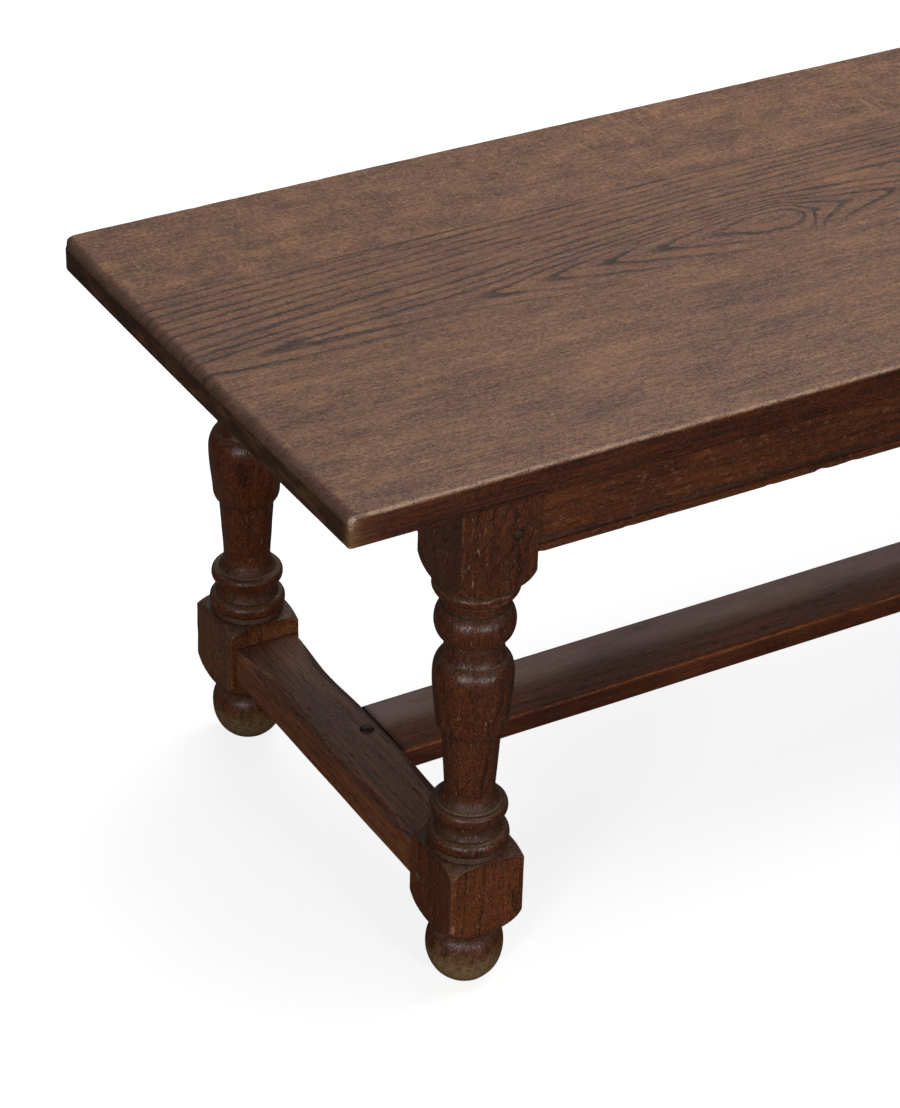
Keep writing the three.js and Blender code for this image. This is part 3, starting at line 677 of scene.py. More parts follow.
def leg_outline():
    """Radius and height of the turned outline, from the floor up."""
    ankle, dome, lower_ring = ANKLE_TOP, BLOCK_HEAD, RING_FOOT
    cove = lower_ring + LOWER_RING[0]
    upper_ring = cove + COVE[0]
    flare = upper_ring + UPPER_RING[0]
    taper = flare + FLARE[0]
    block = TOP_UNDERSIDE - UPPER_BLOCK
    bead = block - BEAD[0]
    ball_head = bead - FILLET[0]
    ball_foot = ball_head - BALL[0]
    vase_head = ball_foot - NECK[0]
    step = taper + (vase_head - taper) * STEP_SHARE
    vase_foot = step + STEP_HEIGHT
    corner = BLOCK_HALF * math.sqrt(2) + QUIRK
    turn = corner - SHOULDER
    cove_pull = (2 * COVE[1] - COVE[2], cove + COVE[0] / 2)
    neck_pull = (NECK[1], vase_head + NECK[0] * PULL_SHARE)
    ball_middle = (BALL[2], (ball_foot + ball_head) / 2)
    fillet_lip = bead - 4 * QUIRK
    bead_middle = bead + BEAD[0] * BEAD_MIDDLE_SHARE
    bead_centre, bead_out = (FILLET[2], bead_middle), BEAD[1] - FILLET[2]
    dome_start = (corner, dome - LOWER_DOME)
    return joined(
        *foot_outline(),
        arc((turn, ankle + SHOULDER), SHOULDER, SHOULDER, -90, 0),
        straight((corner, ankle + SHOULDER), dome_start),
        bend(dome_start, ((corner + BLOCK_HALF) / 2, dome), (BLOCK_HALF * DOME_INNER_SHARE, dome)),
        (RING_NECK + RING_GAP / 2, lower_ring),
        ring_turn(lower_ring, *LOWER_RING),
        (COVE[2] - QUIRK, cove + QUIRK),
        bend((COVE[2], cove + QUIRK), cove_pull, (COVE[2], upper_ring - QUIRK)),
        (COVE[2] - QUIRK, upper_ring - QUIRK),
        ring_turn(upper_ring, *UPPER_RING),
        bend((FLARE[1], flare), (TAPER[0], flare + FLARE[0] * PULL_SHARE), (TAPER[0], taper)),
        straight((TAPER[0], taper), (TAPER[1], step - 2 * QUIRK), TAPER_STEP),
        (TAPER[1] - QUIRK, step - QUIRK),
        bend((TAPER[1] + QUIRK, step), (VASE[0], step + STEP_HEIGHT * PULL_SHARE), (VASE[0], vase_foot)),
        *vase_outline(vase_foot, vase_head),
        bend((VASE[2] - QUIRK, vase_head + QUIRK), neck_pull, (NECK[1], ball_foot - 2 * QUIRK)),
        (NECK[1] - QUIRK, ball_foot - QUIRK),
        arc(ball_middle, BALL[1] - BALL[2], BALL[0] / 2, -90, 90),
        (FILLET[1] - QUIRK, ball_head + QUIRK / 2),
        bend((FILLET[1], ball_head + QUIRK), (FILLET[1], fillet_lip), (FILLET[2], fillet_lip)),
        (FILLET[2], fillet_lip + QUIRK),
        (FILLET[1], bead - QUIRK),
        arc(bead_centre, bead_out, bead_middle - bead, -90, 0),
        arc(bead_centre, bead_out, block - bead_middle, 0, BEAD_TURN),
        arc((turn, block + SHOULDER), SHOULDER, SHOULDER, SHOULDER_START - 90, 0),
        straight((corner, block + SHOULDER), (corner, LEG_TOP)),
    )


def angle_from_face(angles):
    """The angle to the middle of the nearest face of the blank."""
    return np.abs((angles + math.pi / 4) % (math.pi / 2) - math.pi / 4)


def square_reach(angles, arris):
    """How far the square blank reaches along each angle, with its arris rounded off."""
    from_face = angle_from_face(angles)
    from_arris = math.pi / 4 - from_face
    centre = (BLOCK_HALF - arris) * math.sqrt(2)
    half_chord = arris**2 - (centre * np.sin(from_arris)) ** 2
    flat = BLOCK_HALF / np.cos(from_face)
    rounded = centre * np.cos(from_arris) + np.sqrt(np.maximum(half_chord, 0))
    inside = from_arris < math.pi / 4 - np.arctan((BLOCK_HALF - arris) / BLOCK_HALF)
    return np.where(inside, np.minimum(rounded, flat), flat)


def leg_angles():
    """Angles round a leg, closer together near each arris."""
    even = np.linspace(-1, 1, COLUMNS_PER_FACE, endpoint=False)
    spread = even * (1 - ARRIS_CROWDING * even**2) / (1 - ARRIS_CROWDING)
    face = np.sign(spread) * np.abs(spread) * math.pi / 4
    return np.concatenate([face + quarter * math.pi / 2 for quarter in range(4)])


def meet_faces(turned, reach, levels):
    """Moves the nearest ring to where the turning meets a face, so that the edge is crisp."""
    gap = turned - reach
    crossing = gap[:-1] * gap[1:] < 0
    share = gap[:-1] / np.where(crossing, gap[:-1] - gap[1:], 1)
    meet = levels[:-1] + share * np.diff(levels, axis=0)
    radii = np.minimum(turned, reach)
    meeting = np.zeros(gap.shape)
    nearest = ((slice(None, -1), share < 0.5), (slice(1, None), share >= 0.5))
    for rows, near in nearest:
        moved = crossing & near
        levels[rows][moved] = meet[moved]
        radii[rows][moved] = reach[rows][moved]
        meeting[rows][moved] = 1
    return gap, radii, meeting


def leg_mesh(shift):
    """A leg about its own axis: the turned outline held in by the blank's four faces."""
    outline = leg_outline()
    angles = leg_angles()
    rows, columns = len(outline), len(angles)

    def each_row(values):
        return np.repeat(values[:, None], columns, 1)

    def each_column(values):
        return np.repeat(values[None], rows, 0)

    arris = ARRIS_ROUND + ARRIS_SWING * noise(on_axis(outline[:, 1], 2), 14, shift)[:, None]
    reach = square_reach(angles[None, :], np.clip(arris, *ARRIS_LIMITS))
    levels = each_row(outline[:, 1])
    gap, radii, meeting = meet_faces(each_row(outline[:, 0]), reach, levels)
    flat = np.stack([radii * np.cos(angles), radii * np.sin(angles), levels], -1).reshape(-1, 3)
    outward = np.stack([np.cos(angles), np.sin(angles), np.zeros(columns)], -1)
    outward = each_column(outward).reshape(-1, 3)
    wear = 0.16 * noise(flat, (9, 9, 16), shift) + 0.22 * noise(flat, (26, 26, 60), shift + 4)
    wear -= 0.5 * smooth(noise(flat, (7, 7, 9), shift + 9), 0.55, 0.9)
    flat += outward * (np.minimum(wear, 0.1) * smooth(flat[:, 2], 0, 3))[:, None]

    # Where it is worn, hollow, dusty, near the floor, facing up and turned
    is_turned = (gap <= 0).ravel()
    height = flat[:, 2]
    narrow = each_row(bulge(outline, 1.6)).ravel()
    wide = each_row(bulge(outline, 9)).ravel()
    steep = np.abs(np.gradient(outline[:, 0])) > 0.15
    # The line where the turning meets a face is painted pale: wear and a painted highlight
    edge = (np.maximum(nearness(gap, 1.1), meeting) * steep[:, None]).ravel()
    near_arris = nearness((math.pi / 4 - angle_from_face(angles)) * BLOCK_HALF * 1.4, 2.2)
    near_arris = each_column(near_arris).ravel() * ~is_turned
    worn = smooth(narrow, 0.06, 0.4) * is_turned * 0.6
    above_block = smooth(height, RING_FOOT + 2, RING_FOOT + 6)
    slope = np.gradient(outline, axis=0)
    facing_up = -slope[:, 0] / np.maximum(np.linalg.norm(slope, axis=1), 1e-6)
    attributes = {
        "worn": np.maximum(worn, np.maximum(edge * 0.95, near_arris * 0.72)),
        "hollow": smooth(-wide, 0.4, 3.2) * is_turned,
        "dust": smooth(-narrow, 0.12, 0.42) * is_turned * above_block,
        "foot": smooth(FOOT_HEIGHT - height, -2, 38),
        "upward": each_row(smooth(facing_up, 0.3, 0.95)).ravel() * is_turned,
        "turned": 1.0 * is_turned,
    }
    return flat.reshape(rows, columns, 3), attributes


# Pegs

PEG_RADIUS = 4.0
PEG_PROUD = 0.6
PEG_POINT = 3.0
PEG_SIDES = 36
PEG_DENT = 0.12
PIN_RADIUS = 5.5
PIN_DOME = 2.4
HOLE_GAP = 0.5
HOLE_DEPTH = 7.0


def peg_rings(radius, length, dome, shift):
    """A peg along +Z with its head at the top, a little out of round."""
    outline = joined(
        straight((0.3, -length), (radius / 2, -length)),
        straight((radius / 2, -length), (radius, PEG_POINT - length)),
        straight((radius, PEG_POINT - length), (radius, -dome * 0.1)),
        arc((0, 0), radius, dome, 8, 86, 0.35),
    )
    angles = np.linspace(0, 2 * math.pi, PEG_SIDES, endpoint=False)
    across, height = outline[:, 0][:, None], outline[:, 1][:, None]
    rings = np.stack([across * np.cos(angles), across * np.sin(angles), height + 0 * angles], -1)
    flat = rings.reshape(-1, 3)
    dent = PEG_DENT * noise(flat, 3.0, shift)
    head = flat[:, 2] > 0
    flat = flat * (1 + np.minimum(dent, 0.02)[:, None] * np.array([0.5, 0.5, 0.0]))
    flat[:, 2] -= np.where(head, 0.15 + dent, 0) * smooth(flat[:, 2], 0, dome)
    return flat.reshape(rings.shape)


def turned_to(rings, direction, place):
    """Rings drawn along +Z, turned to point along a direction and moved to a place."""
    matrix = Vector((0, 0, 1)).rotation_difference(Vector(direction)).to_matrix()
    return rings @ np.array(matrix).T + place


# Lengths of timber: sections swept along a line


def swept(sections, along):
    """Rings of a length of timber from sections (stations, points, 2) and their places."""
    rings = np.zeros(sections.shape[:2] + (3,))
    rings[..., 0] = along[:, None]
    rings[..., 1:] = sections
    return rings


def stations(low, high, step, close=(0.0, 0.6, 1.6, 3.2)):
    """Places along a timber, closer together at its ends."""
    inner = np.linspace(low + close[-1], high - close[-1], max(2, math.ceil((high - low) / step)))
    ends = np.array(close[:-1])
    return np.concatenate([low + ends, inner, (high - ends)[::-1]])


def rounded_section(corners, radii, step=2.2):
    """A closed outline through corners, each with its own round."""
    count = len(corners)
    corners = np.array(corners, float)
    stretches = []
    for i in range(count):
        before, here, after = corners[i - 1], corners[i], corners[(i + 1) % count]
        back = (before - here) / np.linalg.norm(before - here)
        on = (after - here) / np.linalg.norm(after - here)
        radius = radii[i]
        start, end = here + back * radius, here + on * radius
        stretches.append(bend(start, here, end, max(radius / 3, 0.2)) if radius else [here])
        following = after - on * radii[(i + 1) % count]
        inner = straight(end, following, step)[1:-1]
        if len(inner):
            stretches.append(inner)
    return joined(*stretches)


def worn_rings(rings, shift, depth=0.35, period=(60, 9, 9), nick=0.0):
    """Rings whose surface swells and sinks a little, as planed and handled timber does."""
    flat = rings.reshape(-1, 3)
    outward = rings - rings.mean(1, keepdims=True)
    outward /= np.maximum(np.linalg.norm(outward, axis=-1, keepdims=True), 1e-6)
    depths = depth * noise(flat, period, shift) - depth * 0.5
    if nick:
        depths -= nick * smooth(noise(flat, (8, 5, 5), shift + 5), 0.5, 0.95)
    return rings + outward * np.minimum(depths, 0).reshape(rings.shape[:2])[..., None]


def turned_about_z(rings, degrees, place):
    """Rings turned about the upright axis and moved to a place."""
    turn = math.radians(degrees)
    matrix = np.array([
        [math.cos(turn), -math.sin(turn), 0],
        [math.sin(turn), math.cos(turn), 0],
        [0, 0, 1],
    ])
    return rings @ matrix.T + place


# Top: three boards

END_BOW = 1.2
END_ROUND = 9.3
SIDE_ROUND = 3.0
LOWER_ROUND = 1.5
END_LOWER_ROUND = 1.2
REAR_CORNER = 12.0
FRONT_CORNER = 6.0
CORNER_FOOT_SHARE = 0.45  # of the front corner's round that is left at the underside
END_LINE_SHARE = 0.72  # of the upper round, down to the line where the cut end starts
CHIP_DROP = 8.0  # from the face of the top to the pale chip on its front corners, knocked wood and painted highlight
SEAM_ROUND = 0.25
SEAM_GAP = 0.03  # from the middle of a seam to each board
BOARD_STEP = 4.0
FRONT_STEP = 2.5


def box_lattice(xs, ys, zs):
    """Points and quads on the six faces of a box, on the given lines along each axis."""
    grid = np.stack(np.meshgrid(xs, ys, zs, indexing="ij"), -1)
    surface = np.zeros(grid.shape[:3], bool)
    surface[[0, -1]] = surface[:, [0, -1]] = surface[:, :, [0, -1]] = True
    index = np.zeros(surface.shape, int)
    index[surface] = np.arange(surface.sum())
    faces = []
    for axis in range(3):
        for end in (0, -1):
            side = np.take(index, end, axis)
            quads = np.stack([side[:-1, :-1], side[1:, :-1], side[1:, 1:], side[:-1, 1:]], -1)
            quads = quads.reshape(-1, 4)
            faces.append(quads[:, ::-1] if (end == 0) != (axis == 1) else quads)
    return grid[surface], np.concatenate(faces).tolist()


def lattice_lines(low, high, step, low_round, high_round, close=1.3):
    """Lines between two ends, closer together over the round at each."""
    def over(radius):
        count = max(2, math.ceil(radius / close))
        return radius * (1 - np.cos(np.linspace(0, 1, count + 1) * math.pi / 2))[:-1]

    inner = np.linspace(low + low_round, high - high_round, max(2, math.ceil((high - low) / step)))
    return np.concatenate([low + over(low_round), inner, (high - over(high_round))[::-1]])


def round_edge(points, axis_a, limit_a, axis_b, limit_b, radius):
    """Draws the square edge between two faces of a box in to a quarter round, in place."""
    sign_a, sign_b = math.copysign(1, limit_a), math.copysign(1, limit_b)
    a = sign_a * points[:, axis_a] - (abs(limit_a) - radius)
    b = sign_b * points[:, axis_b] - (abs(limit_b) - radius)
    reach = np.maximum(np.hypot(a, b), 1e-9)
    scale = np.where((a > 0) & (b > 0), np.maximum(a, b) / reach, 1)
    points[:, axis_a] += sign_a * a * (scale - 1)
    points[:, axis_b] += sign_b * b * (scale - 1)


def edge_wear(points, places, width):
    """1 along an edge, which lies at the given places on two axes, falling off over a width."""
    apart = sum((points[:, axis] - place) ** 2 for axis, place in places.items())
    return np.exp(-apart / width**2)


def board_shape(end, low_y, high_y, at_front, at_rear, along_step):
    """A board's lattice about the middle of its thickness, square and with its edges rounded."""
    widest = max(END_ROUND, REAR_CORNER)
    xs = lattice_lines(-end, end, along_step, widest, widest)
    rounds = (FRONT_CORNER if at_front else SEAM_ROUND, REAR_CORNER if at_rear else SEAM_ROUND)
    ys = lattice_lines(low_y, high_y, BOARD_STEP, *rounds, 1.0)
    zs = lattice_lines(-HALF_THICK, HALF_THICK, 2.0, END_LOWER_ROUND, END_ROUND, 0.8)
    square, faces = box_lattice(xs, ys, zs)
    points = square.copy()
    for side in (-1, 1):
        round_edge(points, 0, side * end, 2, HALF_THICK, END_ROUND)
        round_edge(points, 0, side * end, 2, -HALF_THICK, END_LOWER_ROUND)
    centre = (low_y + high_y) / 2
    points[:, 1] -= centre
    rise = (square[:, 2] + HALF_THICK) / (2 * HALF_THICK)
    front_corner = FRONT_CORNER * (CORNER_FOOT_SHARE + (1 - CORNER_FOOT_SHARE) * rise)
    for limit, outer, corner in ((low_y, at_front, front_corner), (high_y, at_rear, REAR_CORNER)):
        edge = limit - centre
        round_edge(points, 1, edge, 2, HALF_THICK, SIDE_ROUND if outer else SEAM_ROUND)
        round_edge(points, 1, edge, 2, -HALF_THICK, LOWER_ROUND if outer else SEAM_ROUND)
        for side in (-1, 1) if outer else ():
            round_edge(points, 0, side * end, 1, edge, corner)
    points[:, 1] += centre
    points[:, 0] += END_BOW * (1 - (points[:, 1] / TABLE_HIGH[1]) ** 2) * points[:, 0] / end
    return square, points, faces


def board_wear(square, end, low_y, high_y, at_front, at_rear):
    """How far each point's arris is rubbed, and how worn it looks. The pale band along the front arris
    and the chips on the front corners are wear and painted highlight.
    """
    arris, worn = np.zeros(len(square)), np.zeros(len(square))
    for side in (-1, 1):
        x = side * end
        arris += 0.15 * edge_wear(square, {0: x, 2: HALF_THICK}, 6)
        worn += 0.12 * edge_wear(square, {0: x, 2: HALF_THICK}, 5)
        worn += 0.30 * edge_wear(square, {0: x, 2: -HALF_THICK}, 2.5)
        if at_front:
            corner = edge_wear(square, {0: x, 1: low_y}, 6)
            tip = edge_wear(square, {0: x, 1: low_y, 2: HALF_THICK}, 7)
            chip = edge_wear(square, {0: x, 1: low_y, 2: HALF_THICK - CHIP_DROP}, 5)
            worn += 0.15 * corner + 0.8 * chip - 0.5 * tip
            arris += 1.0 * corner + 3.0 * tip
    if at_front:
        arris += 1.0 * edge_wear(square, {1: low_y, 2: HALF_THICK}, 4)
        worn += 0.95 * edge_wear(square, {1: low_y, 2: HALF_THICK}, 2.7)
        worn += 0.35 * edge_wear(square, {1: low_y, 2: -HALF_THICK}, 2.5)
    if at_rear:
        arris += 0.8 * edge_wear(square, {1: high_y, 2: HALF_THICK}, 4)
        worn += 0.45 * edge_wear(square, {1: high_y, 2: HALF_THICK}, 3.6)
    return arris, worn


def board(name, low_y, high_y, shift, material, along_step=BOARD_STEP):
    """One board of the top, between two lines along its length."""
    end = TABLE_HIGH[0] - END_BOW
    at_front, at_rear = low_y == TABLE_LOW[1], high_y == TABLE_HIGH[1]
    square, points, faces = board_shape(end, low_y, high_y, at_front, at_rear, along_step)
    arris, worn = board_wear(square, end, low_y, high_y, at_front, at_rear)
    x, y, z = square.T
    none = np.zeros(len(square))

    # A hand-planed face, and edges that have been knocked and rubbed
    upper = smooth(z, 0, HALF_THICK)
    flat = 0.14 * noise(points, (150, 48, 90), shift) + 0.08 * noise(points, (46, 16, 40), shift + 3)
    points[:, 2] += (flat - 0.2) * upper
    rubbed = 0.5 * smooth(noise(points, (22, 14, 14), shift + 8), -0.2, 0.9)
    rubbed += 0.7 * smooth(noise(points, (7, 5, 5), shift + 12), 0.35, 0.9)
    inward = np.where(y > (low_y + high_y) / 2, -1.0, 1.0) * (at_front or at_rear)
    inward = np.stack([none, inward, -np.sign(z)], 1)
    points += inward * (0.55 * arris * rubbed)[:, None]
    points[:, 2] += TOP_UNDERSIDE + HALF_THICK

    # The end's round, the line under it, the cut face below and the long side
    at_end = smooth(np.abs(x), end - END_ROUND, end - END_ROUND / 2)
    below_round = HALF_THICK - END_ROUND * END_LINE_SHARE - z
    worn += 0.3 * at_end * nearness(below_round + 1.2, 1.0)
    hollow = 0.6 * at_end * nearness(below_round - 1.4, 1.4)
    for limit, outer in ((low_y, at_front), (high_y, at_rear)):
        if not outer:
            hollow += 0.45 * edge_wear(square, {1: limit}, 1.6) * upper
    at_side = none
    if at_front:
        at_side = smooth(low_y + SIDE_ROUND - y, 0, SIDE_ROUND)
    if at_rear:
        at_side = smooth(y - high_y + SIDE_ROUND, 0, SIDE_ROUND)
    attributes = {
        "worn": np.clip(worn, 0, 1.2),
        "hollow": hollow,
        "dust": none,
        "rolled": at_end,
        "cut": at_end * smooth(below_round, 0, 1.2),
        "side": at_side * smooth(HALF_THICK - SIDE_ROUND * 0.3 - z, 0, SIDE_ROUND) * (1 - at_end),
    }
    body = (points, faces)
    make_piece(name, body, material, "top_" + name, attributes, BOARD_SHARP_ANGLE)


# Aprons: a sunk field over a moulded lip

APRON_HEIGHT = 65.5
APRON_THICKNESS = 22.0
APRON_SETBACK = 4.5
APRON_STEP = 3.0
APRON_ROUNDS = (1.2, 0.4, 0, 0, 0.4, 0.5, 0.3, 2.0, 0.7, 1.6)
LIP_PROUD = 2.6
LIP_HEIGHT = 6.5
LIP_SLOPE = 4.5
GROOVE = (8.0, 8.0, 12.0)  # width, depth and drop from the underside of the top
JOINT_GAP = 0.08  # left between a shoulder and its leg


def apron(side_name, shoulder, degrees, place, material, shift):
    """An apron drawn along X with its outer face to -Y, turned to its side of the table."""
    foot = TOP_UNDERSIDE - APRON_HEIGHT
    head = TOP_UNDERSIDE - JOINT_GAP
    groove_head = TOP_UNDERSIDE - GROOVE[2]
    groove_foot = groove_head - GROOVE[0]
    lip = foot + LIP_HEIGHT
    inner = APRON_THICKNESS
    corners = [
        (inner, foot), (inner, groove_foot), (inner - GROOVE[1], groove_foot),
        (inner - GROOVE[1], groove_head), (inner, groove_head), (inner, head),
        (0, head), (0, lip + LIP_SLOPE * PULL_SHARE), (-LIP_PROUD, lip), (-LIP_PROUD, foot),
    ]
    section = rounded_section(corners, APRON_ROUNDS)
    along = stations(-shoulder, shoulder, APRON_STEP)
    rings = swept(np.repeat(section[None], len(along), 0), along)
    lower = smooth(lip + 2 - rings[..., 2], 0, 6)
    rings = worn_rings(rings, shift, 0.22, (110, 30, 22))
    nicks = smooth(noise(rings.reshape(-1, 3), (15, 12, 12), shift + 6), 0.1, 0.8)
    nicks = nicks.reshape(rings.shape[:2]) * lower
    rings[..., 2] += 1.3 * nicks * smooth(foot + 3 - rings[..., 2], 0, 3)
    rings[..., 1] += 0.7 * nicks

    outer = section[:, 0] < inner / 2
    height = section[:, 1]
    wide = smooth(-bulge(section, 5), 0.15, 0.9) * outer
    narrow = smooth(bulge(section, 1.2), 0.12, 0.5) * outer
    # Darker just above the lip, and painted shade under the top's overhang
    over_lip = 0.75 * nearness(height - lip - LIP_SLOPE * 0.4, 2.2) * outer
    shade_under_top = 0.35 * nearness(height - head, 8)
    shares = {
        "worn": 0.4 * narrow * (height < lip + 3),
        "hollow": np.maximum(np.maximum(wide * 0.7, over_lip), shade_under_top),
        "dust": 0.35 * wide,
    }
    attributes = {key: with_ends(np.tile(v, len(along))) for key, v in shares.items()}
    body = skin(turned_about_z(rings, degrees, place))
    make_piece("apron_rail_" + side_name, body, material, "apron_" + side_name, attributes)


# Stretchers

CROSS_WIDTH = 58.0
CROSS_THICKNESS = 31.5
CROSS_HEIGHT = 82.5
CROSS_STEP = 2.4
CROSS_POINTS = (16, 9, 4, 14, 4, 9)  # of the section, from each corner to the next
CROSS_ROUNDS = (1.4, 1.4, 1.1, 1.6, 1.6, 1.1)
CHAMFER_STOP = 62.0
CHAMFER_EASE = 70.0
CHAMFER_SWELL = (11.0, 7.0)  # width and depth
CHAMFER_WAIST = (6.0, 3.6)
CHAMFER_START = 0.8
LONG_WIDTH = 74.0
LONG_THICKNESS = 21.4
LONG_HEIGHT = 90.6
LONG_STEP = 3.6
LONG_POINTS = (16, 5, 2, 12, 9, 6)
LONG_ROUNDS = (1.3, 1.3, 0.8, 1.0, 7.0, 2.2)
WEAR_WIDTH = 24.0
WEAR_DEPTH = 1.9
REAR_CHAMFER = 3.4
ROUND_LIMIT = 0.3  # of the side beside a corner


def chamfer(distance):
    """Width and depth of a cross stretcher's chamfer at a distance from its shoulder."""
    swept_share = smooth(distance, 0, CHAMFER_STOP)[:, None]
    eased = smooth(distance, CHAMFER_STOP, CHAMFER_STOP + CHAMFER_EASE)[:, None]
    swell, waist = np.array(CHAMFER_SWELL), np.array(CHAMFER_WAIST)
    full = swell + (waist - swell) * eased
    return CHAMFER_START + (full - CHAMFER_START) * swept_share


def section_points(corners, counts, rounds):
    """Points of sections whose corners move along the timber, the same number in each."""
    total = corners.shape[1]
    columns, corner_share = [], []
    for i in range(total):
        here, before, after = corners[:, i], corners[:, i - 1], corners[:, (i + 1) % total]
        back, on = before - here, after - here
        back_length = np.maximum(np.linalg.norm(back, axis=1), 1e-6)[:, None]
        on_length = np.maximum(np.linalg.norm(on, axis=1), 1e-6)[:, None]
        radius = np.minimum(rounds[i], np.minimum(back_length, on_length) * ROUND_LIMIT)
        start, end = here + back / back_length * radius, here + on / on_length * radius
        for t in (0.0, 0.25, 0.5, 0.75, 1.0):
            columns.append((1 - t) ** 2 * start + 2 * t * (1 - t) * here + t**2 * end)
            corner_share.append(i if 0 < t < 1 else -1)
        following = np.minimum(rounds[(i + 1) % total], on_length * ROUND_LIMIT)
        stop = after - on / on_length * following
        for k in range(1, counts[i]):
            columns.append(end + (stop - end) * k / counts[i])
            corner_share.append(-1)
    return np.stack(columns, 1), corner_share


def rail(name, node, material, along, corners, counts, rounds, edges, wear, degrees=0, place=(0, 0, 0)):
    """A stretcher from the corners of its section, each a number or one for each station."""
    level = np.zeros(len(along))
    corners = np.stack([np.stack([y + level, z + level], 1) for y, z in corners], 1)
    sections, corner = section_points(corners, counts, rounds)
    rings = worn_rings(swept(sections, along), *wear)
    worn = np.tile([edges.get(i, 0.0) for i in corner], len(along))
    # Darker and dustier beside the legs: dust, and painted shade where the parts meet
    hollow = np.repeat(0.7 * nearness(along[-1] - np.abs(along), 5), len(corner))
    attributes = {"worn": with_ends(worn), "hollow": with_ends(hollow), "dust": with_ends(0.6 * hollow)}
    body = skin(turned_about_z(rings, degrees, place))
    return make_piece(name, body, material, node, attributes)


def cross_stretcher(name, side, material, shift):
    """A stretcher between the legs of one end. Its chamfers sweep out near the legs."""
    half, foot = CROSS_WIDTH / 2, CROSS_HEIGHT
    top = foot + CROSS_THICKNESS
    shoulder = LEG_Y - BLOCK_HALF - JOINT_GAP
    along = stations(-shoulder, shoulder, CROSS_STEP)
    width, depth = chamfer(shoulder - np.abs(along)).T
    width = width * (1 + 0.05 * noise(on_axis(along, 0), 30, shift))
    depth = depth * (1 + 0.05 * noise(on_axis(along, 0), 24, shift + 2))
    corners = (
        (-half, foot), (half, foot), (half, top - depth),
        (half - width, top), (width - half, top), (-half, top - depth),
    )
    return rail(
        "cross_rail_" + name, "cross_stretcher_" + name, material, along, corners, CROSS_POINTS,
        CROSS_ROUNDS, {2: 0.62, 3: 0.3, 4: 0.3, 5: 0.62}, (shift, 0.28, (70, 20, 20), 0.35),
        -90 * side, (side * LEG_X, 0, 0),
    )


def long_stretcher(material, shift):
    """The flat stretcher along the table, worn to a slope at its front."""
    half, foot = LONG_WIDTH / 2, LONG_HEIGHT
    top = foot + LONG_THICKNESS
    shoulder = LEG_X - CROSS_WIDTH / 2 - JOINT_GAP
    along = stations(-shoulder, shoulder, LONG_STEP)
    wear = WEAR_DEPTH * (1 + 0.25 * noise(on_axis(along, 0), 90, shift))
    corners = (
        (-half, foot), (half, foot), (half, top - REAR_CHAMFER),
        (half - REAR_CHAMFER, top), (WEAR_WIDTH - half, top), (-half, top - wear),
    )
    rail(
        "long_rail", "long_stretcher", material, along, corners, LONG_POINTS, LONG_ROUNDS,
        {2: 0.35, 3: 0.35, 5: 0.75}, (shift, 0.3, (120, 24, 24), 0.3),
    )


# Materials of the pieces

TONE_PLACES = (0.0, 0.3, 0.55, 0.8, 1.0)


def tones(*codes):
    """Stops of a ramp, from the pores to the palest grain."""
    return tuple(zip(TONE_PLACES, codes, strict=True))


TOP_TONES = tones("#231510", "#4b3125", "#704c38", "#8a6449", "#a57e5a")
LEG_TONES = tones("#140904", "#341a0e", "#502815", "#6a3b20", "#8b5832")
CROSS_TONES = tones("#1c110e", "#4c2e24", "#6d4533", "#895a41", "#a47552")
LONG_TONES = tones("#190d07", "#3f2418", "#5d3622", "#794b2f", "#95653e")
PEG_TONES = tones("#120b07", "#281810", "#3b2518", "#523624", "#6d4c34")
PALE_PEG_TONES = tones("#241710", "#463225", "#634a39", "#7c6350", "#957d68")
APRON_TONES = tones("#160a04", "#371a0c", "#542a14", "#71401d", "#96602f")
BARE_TONES = tones("#3a2817", "#6b4f32", "#8c6a45", "#a5825a", "#bd9c72")


# The middle board's arched figure: shares of its rings along the table and across it. The lines
# leave the loops over ABOVE_RISE, and run level over LEVEL_RISE.

RUN_RINGS = 10.0
RUN_SPAN = (-597.6, 602.4)
RUN_SHARES = (
    (0.0, 0.67), (0.08, 0.60), (0.18, 0.55), (0.222, 0.50), (0.268, 0.40), (0.314, 0.30),
    (0.356, 0.20), (0.402, 0.10), (0.442, 0.03), (0.472, 0.20), (0.495, 0.30), (0.535, 0.40),
    (0.583, 0.50), (0.70, 0.56), (0.85, 0.62), (1.0, 0.74),
)
ABOVE_SHARES = (
    (0.0, 0.66), (0.222, 0.5), (0.35, 0.39), (0.442, 0.32), (0.6, 0.34), (0.8, 0.4), (1.0, 0.47),
)
ABOVE_RISE = (12.0, 48.0)
LEVEL_SHARES = ((0.0, 0.5), (1.0, 0.56))
LEVEL_RISE = (50.0, 105.0)
RISE_RINGS = 14.0
RISE_SPAN = (-60.0, 120.0)
RISE_SHARES = (
    (0.0, 0.26), (0.11, 0.18), (0.22, 0.08), (0.30, 0.016), (0.333, 0.0), (0.366, 0.02),
    (0.44, 0.121), (0.489, 0.193), (0.572, 0.264), (0.69, 0.395), (0.811, 0.56), (1.0, 0.81),
)
AXIS_PLACE = 5.9  # y of the figure's middle line, half way along the table
AXIS_SLANT = 0.0155
FAINT_RISE = (-44, -6)  # below the loops the lines are faint
BOLD_RISE = 8  # and round this rise they are bold
BOLD_SPAN = (8, 38)


